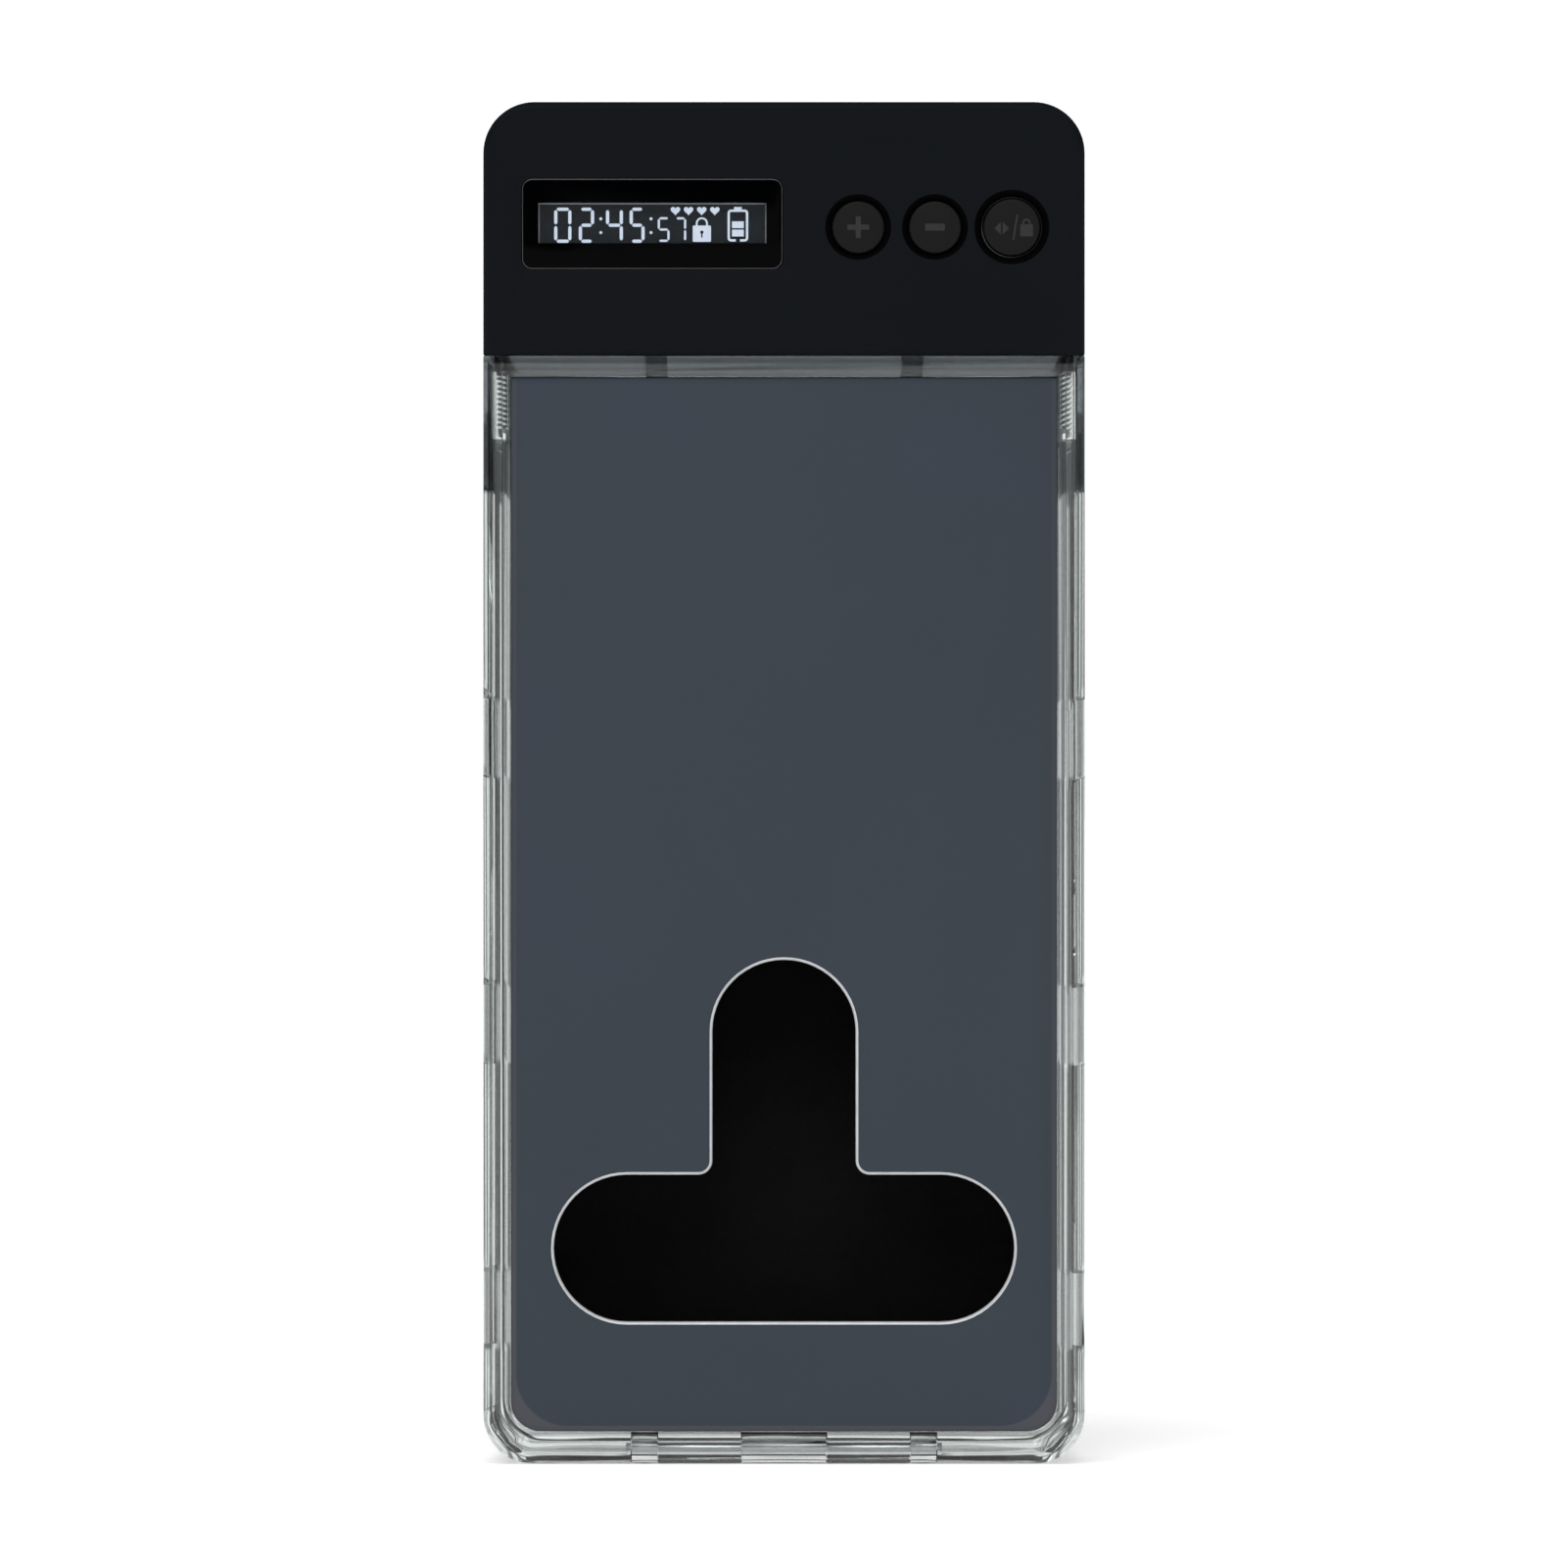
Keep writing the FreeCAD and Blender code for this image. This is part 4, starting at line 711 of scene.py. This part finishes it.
lit, at = finish("lit_segments", {
    "Base Color": (0.02, 0.02, 0.02, 1), "Emission Strength": 0.95, "Roughness": 0.5,
})
at.grain(1.5 * MM).blend((0.60, 0.72, 0.92, 1), (0.80, 0.88, 0.98, 1)).feeds("Emission Color")
dark_mark, at = finish("dark_mark", {"Roughness": 0.5, "Specular IOR Level": 0.1})
at.grain(1 * MM).blend((0.012, 0.016, 0.022, 1), (0.016, 0.02, 0.027, 1)).feeds("Base Color")

MARK_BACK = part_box("display_panel")[0].y
MARK_FRONT = MARK_BACK - 0.06 * MM
MARK_MIDDLE = (MARK_FRONT + MARK_BACK) / 2
POINTED = 0.42
SEGMENT_GAP = 0.28
# Each figure's segments: a at the top, then clockwise to f, with g in the middle.
LIT_SEGMENTS = {"0": "abcdef", "2": "abged", "4": "fgbc", "5": "afgcd", "7": "abc"}


def segment(left, low, right, high):
    """One segment of a figure, with pointed ends."""
    piece = slab((left, MARK_FRONT, low), (right, MARK_BACK, high))
    pick(piece, "EDGE", along(1))
    round_picked(min(right - left, high - low) * POINTED, 1)
    return piece


def figure(digit, left, low, width, height, stroke):
    """The lit segments of one figure."""
    gap = stroke * SEGMENT_GAP
    right, middle, high = left + width, low + height / 2, low + height
    half = stroke / 2
    level = {"a": (high - stroke, high), "g": (middle - half, middle + half), "d": (low, low + stroke)}
    pieces = []
    for name in LIT_SEGMENTS[digit]:
        if name in level:
            pieces.append(segment(left + half + gap, level[name][0], right - half - gap, level[name][1]))
            continue
        x = right - stroke if name in "bc" else left
        rise = (middle + gap, high - half - gap) if name in "bf" else (low + half + gap, middle - gap)
        pieces.append(segment(x, rise[0], x + stroke, rise[1]))
    return pieces


# The left side and the width of each figure, in millimetres
LARGE_FIGURES = (("0", -35.95, 2.7), ("2", -32.1, 2.4), ("4", -27.85, 2.65), ("5", -24.15, 2.35))
LARGE_LOW = 191.05 * MM
LARGE_HEIGHT = 5.5 * MM
LARGE_STROKE = 0.5 * MM
SMALL_FIGURES = (("5", -19.75, 1.85), ("7", -17.05, 1.75))
SMALL_LOW = 191.2 * MM
SMALL_HEIGHT = 3.85 * MM
SMALL_STROKE = 0.34 * MM
COLONS = (-28.65, -20.8)
COLON_LEVELS = (192.65, 194.8)
COLON_HALF = 0.25 * MM
marks = []
for digit, left, width in LARGE_FIGURES:
    marks += figure(digit, left * MM, LARGE_LOW, width * MM, LARGE_HEIGHT, LARGE_STROKE)
for digit, left, width in SMALL_FIGURES:
    marks += figure(digit, left * MM, SMALL_LOW, width * MM, SMALL_HEIGHT, SMALL_STROKE)
for across in COLONS:
    for level in COLON_LEVELS:
        x, z = across * MM, level * MM
        marks.append(segment(x - COLON_HALF, z - COLON_HALF, x + COLON_HALF, z + COLON_HALF))

HEARTS = (-16.98, -14.93, -12.87, -10.82)
HEART_WIDTH = 1.5 * MM
HEART_LEVEL = 196.1 * MM


def heart(across):
    """A heart sign, whose outline is the usual heart curve, 32 of its units wide."""
    bpy.ops.mesh.primitive_cylinder_add(
        vertices=28, radius=1, depth=MARK_BACK - MARK_FRONT, rotation=(math.radians(90), 0, 0)
    )
    sign = placed()
    unit = HEART_WIDTH / 32
    for corner in sign.data.vertices:
        turn = math.atan2(corner.co.x, corner.co.z)
        x = 16 * math.sin(turn) ** 3
        z = 13 * math.cos(turn) - 5 * math.cos(2 * turn) - 2 * math.cos(3 * turn) - math.cos(4 * turn)
        corner.co = Vector((across + x * unit, corner.co.y + MARK_MIDDLE, HEART_LEVEL + z * unit))
    return sign


marks += [heart(across * MM) for across in HEARTS]


def padlock(middle, low, width, body_height, stroke, front, back):
    """A padlock sign: its body and a bow of half a ring on two short legs."""
    body_top = low + body_height
    body = slab((middle - width / 2, front, low), (middle + width / 2, back, body_top))
    pick(body, "EDGE", along(1))
    round_picked(width * 0.06, 2)
    bow = width * 0.33
    leg_top = body_top + width * 0.12
    depth = (front + back) / 2
    bpy.ops.mesh.primitive_torus_add(
        major_radius=bow - stroke / 2, minor_radius=stroke / 2, major_segments=32, minor_segments=8,
        location=(middle, depth, leg_top), rotation=(math.radians(90), 0, 0),
    )
    ring = placed()
    pick(ring, "FACE", lambda corners: True)
    bpy.ops.mesh.bisect(plane_co=(middle, 0, leg_top), plane_no=(0, 0, 1), use_fill=True, clear_inner=True)
    bpy.ops.object.mode_set(mode="OBJECT")
    for corner in ring.data.vertices:
        corner.co.y = depth + (corner.co.y - depth) * (back - front) / stroke
    legs = [
        slab((x - stroke / 2, front, body_top), (x + stroke / 2, back, leg_top))
        for x in (middle - bow + stroke / 2, middle + bow - stroke / 2)
    ]
    return [body, ring, *legs]


PADLOCK_MIDDLE = -12.85 * MM
PADLOCK_LOW = 191.2 * MM
PADLOCK_WIDTH = 2.85 * MM
PADLOCK_HEIGHT = 2.55 * MM
PADLOCK_STROKE = 0.28 * MM
marks += padlock(
    PADLOCK_MIDDLE, PADLOCK_LOW, PADLOCK_WIDTH, PADLOCK_HEIGHT, PADLOCK_STROKE, MARK_FRONT, MARK_BACK
)

BATTERY_LEFT = -8.83 * MM
BATTERY_RIGHT = -5.6 * MM
BATTERY_LOW = 191.25 * MM
BATTERY_HIGH = 196.25 * MM
BATTERY_LINE = 0.36 * MM
BATTERY_CORNER = 0.55 * MM
BATTERY_NOTCH = 0.33 * MM
battery_middle = (BATTERY_LEFT + BATTERY_RIGHT) / 2


def sign_block(half_width, low, high, spare=0.0):
    """A block across the battery sign's middle, as deep as the marks and what is to spare."""
    return slab(
        (battery_middle - half_width, MARK_FRONT - spare, low),
        (battery_middle + half_width, MARK_BACK + spare, high),
    )


outline = sign_block((BATTERY_RIGHT - BATTERY_LEFT) / 2, BATTERY_LOW, BATTERY_HIGH)
pick(outline, "EDGE", along(1))
round_picked(BATTERY_CORNER, 4)
pick(outline, "FACE", lambda corners: len(corners) > 4)
bpy.ops.mesh.inset(thickness=BATTERY_LINE, use_individual=True)
bpy.ops.mesh.bridge_edge_loops()
bpy.ops.object.mode_set(mode="OBJECT")
cut_away(outline, sign_block(BATTERY_NOTCH, BATTERY_LOW - MM, BATTERY_LOW + BATTERY_LINE * 1.3, MM))
TIP_HALF = 0.6 * MM
TIP_HEIGHT = 0.4 * MM
BAR_HALF = 0.92 * MM
BARS = ((192.05, 193.1), (193.35, 194.4))
marks += [outline, sign_block(TIP_HALF, BATTERY_HIGH, BATTERY_HIGH + TIP_HEIGHT)]
marks += [sign_block(BAR_HALF, low * MM, high * MM) for low, high in BARS]
lit_marks = join("lit_figures_and_signs", *marks)
settle(lit_marks, "case", "display_glass", lit)

KEYHOLE_DEPTH = 0.03 * MM
KEYHOLE_RADIUS = 0.27 * MM
KEYHOLE_LEVEL = PADLOCK_LOW + 1.5 * MM
SLOT_HALF = 0.11 * MM
SLOT_LOW = PADLOCK_LOW + 0.65 * MM
SLOT_HIGH = PADLOCK_LOW + 1.35 * MM
bpy.ops.mesh.primitive_cylinder_add(
    vertices=20, radius=KEYHOLE_RADIUS, depth=KEYHOLE_DEPTH, rotation=(math.radians(90), 0, 0),
    location=(PADLOCK_MIDDLE, MARK_FRONT - KEYHOLE_DEPTH / 2, KEYHOLE_LEVEL),
)
keyhole = placed()
slot = slab(
    (PADLOCK_MIDDLE - SLOT_HALF, MARK_FRONT - KEYHOLE_DEPTH, SLOT_LOW),
    (PADLOCK_MIDDLE + SLOT_HALF, MARK_FRONT, SLOT_HIGH),
)
keyhole = join("padlock_keyhole", keyhole, slot)
settle(keyhole, "case", "display_glass", dark_mark)

# The three buttons: matt black caps that stand in their dishes, a little behind the shell's front.
# Grey signs are printed on them: plus, minus, and on the third a pair of arrows, a slash and a padlock.
CAP_EDGE = 0.3 * MM
cap_black, at = finish("button_cap", {"Specular IOR Level": 0.08})
at.grain(6 * MM).blend((0.0072, 0.0072, 0.0072, 1), (0.0092, 0.0092, 0.0092, 1)).feeds("Base Color")
(at.grain(0.5 * MM) * 0.12 + 0.46).feeds("Roughness")
at.grain(0.14 * MM).raises(0.01 * MM, 0.5)
grey_print, at = finish("grey_print", {"Specular IOR Level": 0.2, "Roughness": 0.6})
at.grain(0.5 * MM).blend((0.019, 0.019, 0.019, 1), (0.027, 0.027, 0.027, 1)).feeds("Base Color")

for key in ("plus", "minus", "lock"):
    cap = moulded_copy(f"{key}_button", f"{key}_cap", CAP_EDGE, 3)
    settle(cap, f"{key}_key", "button_cap", cap_black, f"{key}_button")
PRINT = 0.03 * MM
cap_front = button_boxes["plus"][0].y
cap_level = button_middles["plus"].z


def printed(middle, width, height):
    """A rectangle of print on a cap's front."""
    return slab(
        (middle - width / 2, cap_front - PRINT, cap_level - height / 2),
        (middle + width / 2, cap_front, cap_level + height / 2),
    )


PLUS_ARM = 1.3 * MM
PLUS_STROKE = 0.8 * MM
plus_sign = printed(button_middles["plus"].x, PLUS_STROKE, PLUS_STROKE)
pick(plus_sign, "FACE", lambda corners: max(c.y for c in corners) - min(c.y for c in corners) > PRINT / 2)
bpy.ops.mesh.extrude_faces_move(TRANSFORM_OT_shrink_fatten={"value": PLUS_ARM})
bpy.ops.object.mode_set(mode="OBJECT")
plus_sign.name = "plus_sign"
settle(plus_sign, "plus_key", "button_cap", grey_print)

MINUS_WIDTH = 3.1 * MM
MINUS_HEIGHT = 1.1 * MM
MINUS_ROUND = 0.15 * MM
minus_sign = printed(button_middles["minus"].x, MINUS_WIDTH, MINUS_HEIGHT)
pick(minus_sign, "EDGE", along(1))
round_picked(MINUS_ROUND, 2)
minus_sign.name = "minus_sign"
settle(minus_sign, "minus_key", "button_cap", grey_print)

# Where each arrow stands from the third cap's middle, and which way it points
ARROWS = ((-2.05 * MM, 180), (-1.1 * MM, 0))
ARROW_RADIUS = 0.68 * MM
ARROW_DROP = 0.1 * MM
ARROW_STRETCH = 1.7
SLASH_PLACE = 0.54 * MM
SLASH_WIDTH = 0.28 * MM
SLASH_HEIGHT = 3.9 * MM
SLASH_LEAN = 0.16
LOCK_SIGN_PLACE = 2.3 * MM
LOCK_SIGN_DROP = 1.45 * MM
LOCK_SIGN_WIDTH = 2.0 * MM
LOCK_SIGN_HEIGHT = 1.9 * MM
LOCK_SIGN_STROKE = 0.3 * MM
lock_middle = button_middles["lock"].x
lock_signs = []
for across, turn in ARROWS:
    bpy.ops.mesh.primitive_cylinder_add(
        vertices=3, radius=ARROW_RADIUS, depth=PRINT,
        location=(lock_middle + across, cap_front - PRINT / 2, cap_level - ARROW_DROP),
        rotation=(math.radians(90), math.radians(turn + 90), 0),
    )
    arrow = placed()
    for corner in arrow.data.vertices:
        corner.co.z = cap_level + (corner.co.z - cap_level) * ARROW_STRETCH
    lock_signs.append(arrow)
slash = printed(lock_middle + SLASH_PLACE, SLASH_WIDTH, SLASH_HEIGHT)
for corner in slash.data.vertices:
    corner.co.x += (corner.co.z - cap_level) * SLASH_LEAN
lock_signs.append(slash)
lock_signs += padlock(
    lock_middle + LOCK_SIGN_PLACE, cap_level - LOCK_SIGN_DROP, LOCK_SIGN_WIDTH, LOCK_SIGN_HEIGHT,
    LOCK_SIGN_STROKE, cap_front - PRINT, cap_front,
)
lock_sign = join("lock_sign", *lock_signs)
settle(lock_sign, "lock_key", "button_cap", grey_print)

# The working parts in the head, which only show when it is opened: the plate and the display's holder, the
# acetal bolt carriage with its rack and the switches' plungers, the brass pinion and the gearmotor.
inner_plastic, at = finish("inner_plastic", {"Specular IOR Level": 0.3})
at.grain(8 * MM).blend((0.018, 0.018, 0.02, 1), (0.026, 0.026, 0.028, 1)).feeds("Base Color")
(at.grain(0.5 * MM) * 0.15 + 0.5).feeds("Roughness")
acetal, at = finish("white_plastic", {"Specular IOR Level": 0.4})
at.grain(5 * MM).blend((0.74, 0.73, 0.69, 1), (0.80, 0.79, 0.76, 1)).feeds("Base Color")
(at.grain(0.6 * MM) * 0.12 + 0.35).feeds("Roughness")
brass, at = finish("brass", {"Metallic": 1})
at.grain(1 * MM).blend((0.62, 0.44, 0.17, 1), (0.74, 0.55, 0.25, 1)).feeds("Base Color")
(at.grain(0.2 * MM) * 0.2 + 0.2).feeds("Roughness")
motor_can, at = finish("motor_can", {"Metallic": 1})
at.grain(2 * MM).blend((0.55, 0.55, 0.57, 1), (0.66, 0.66, 0.68, 1)).feeds("Base Color")
(at.grain(0.4 * MM) * 0.15 + 0.25).feeds("Roughness")
dress(inner_plastic, "lock_chassis", "display_holder")
dress(acetal, "bolt_carriage", "plus_switch_plunger", "minus_switch_plunger", "lock_switch_plunger")
dress(brass, "pinion", "gearbox")
dress(motor_can, "motor")

# The electronics: a green board with its parts and the buzzer, the battery pouch on its pad, and the
# nickel-plated port with its tongue. They keep the meshes of their solids, since only the port shows.
TRACK_PITCH = 8 * MM
TRACK_WIDTH = 0.03
CONTACT_PITCH = 0.5 * MM
board, at = finish("board", {"Specular IOR Level": 0.5})
tracks = at.node("ShaderNodeTexBrick", {}, {
    "Vector": at.node("ShaderNodeMapping", {}, {"Vector": at, "Rotation": (math.radians(90), 0, 0)}),
    "Scale": 1 / TRACK_PITCH, "Mortar Size": TRACK_WIDTH,
}, 1)
tracks.blend((0.012, 0.10, 0.038, 1), (0.03, 0.19, 0.07, 1)).feeds("Base Color")
(at.grain(2 * MM) * 0.1 + 0.3).feeds("Roughness")
chip, at = finish("chip_plastic", {"Specular IOR Level": 0.4})
at.grain(0.4 * MM).blend((0.02, 0.02, 0.022, 1), (0.032, 0.032, 0.035, 1)).feeds("Base Color")
(at.grain(0.3 * MM) * 0.15 + 0.45).feeds("Roughness")
foil, at = finish("battery_foil", {"Metallic": 1})
at.grain(4 * MM).blend((0.56, 0.57, 0.60, 1), (0.68, 0.69, 0.72, 1)).feeds("Base Color")
(at.grain(1.5 * MM) * 0.2 + 0.3).feeds("Roughness")
at.grain(3 * MM).raises(0.08 * MM, 0.4)
nickel, at = finish("port_steel", {"Metallic": 1})
at.grain(1 * MM).blend((0.56, 0.56, 0.57, 1), (0.66, 0.66, 0.66, 1)).feeds("Base Color")
(at.grain(0.3 * MM) * 0.12 + 0.22).feeds("Roughness")
contacts, at = finish("port_tongue", {"Specular IOR Level": 0.4})
stripe = at.math("PINGPONG", at.axis("X"), CONTACT_PITCH / 2).above(CONTACT_PITCH / 4)
stripe.blend((0.015, 0.015, 0.016, 1), (0.75, 0.58, 0.25, 1)).feeds("Base Color")
stripe.feeds("Metallic")
(at.grain(0.5 * MM) * 0.1 + 0.3).feeds("Roughness")
dress(board, "control_board")
dress(chip, "board_components", "button_switches", "buzzer")
dress(zinc, "board_screws")
dress(foil, "battery")
dress(foam, "battery_pad")
dress(nickel, "charging_port")
dress(contacts, "charging_port_tongue")
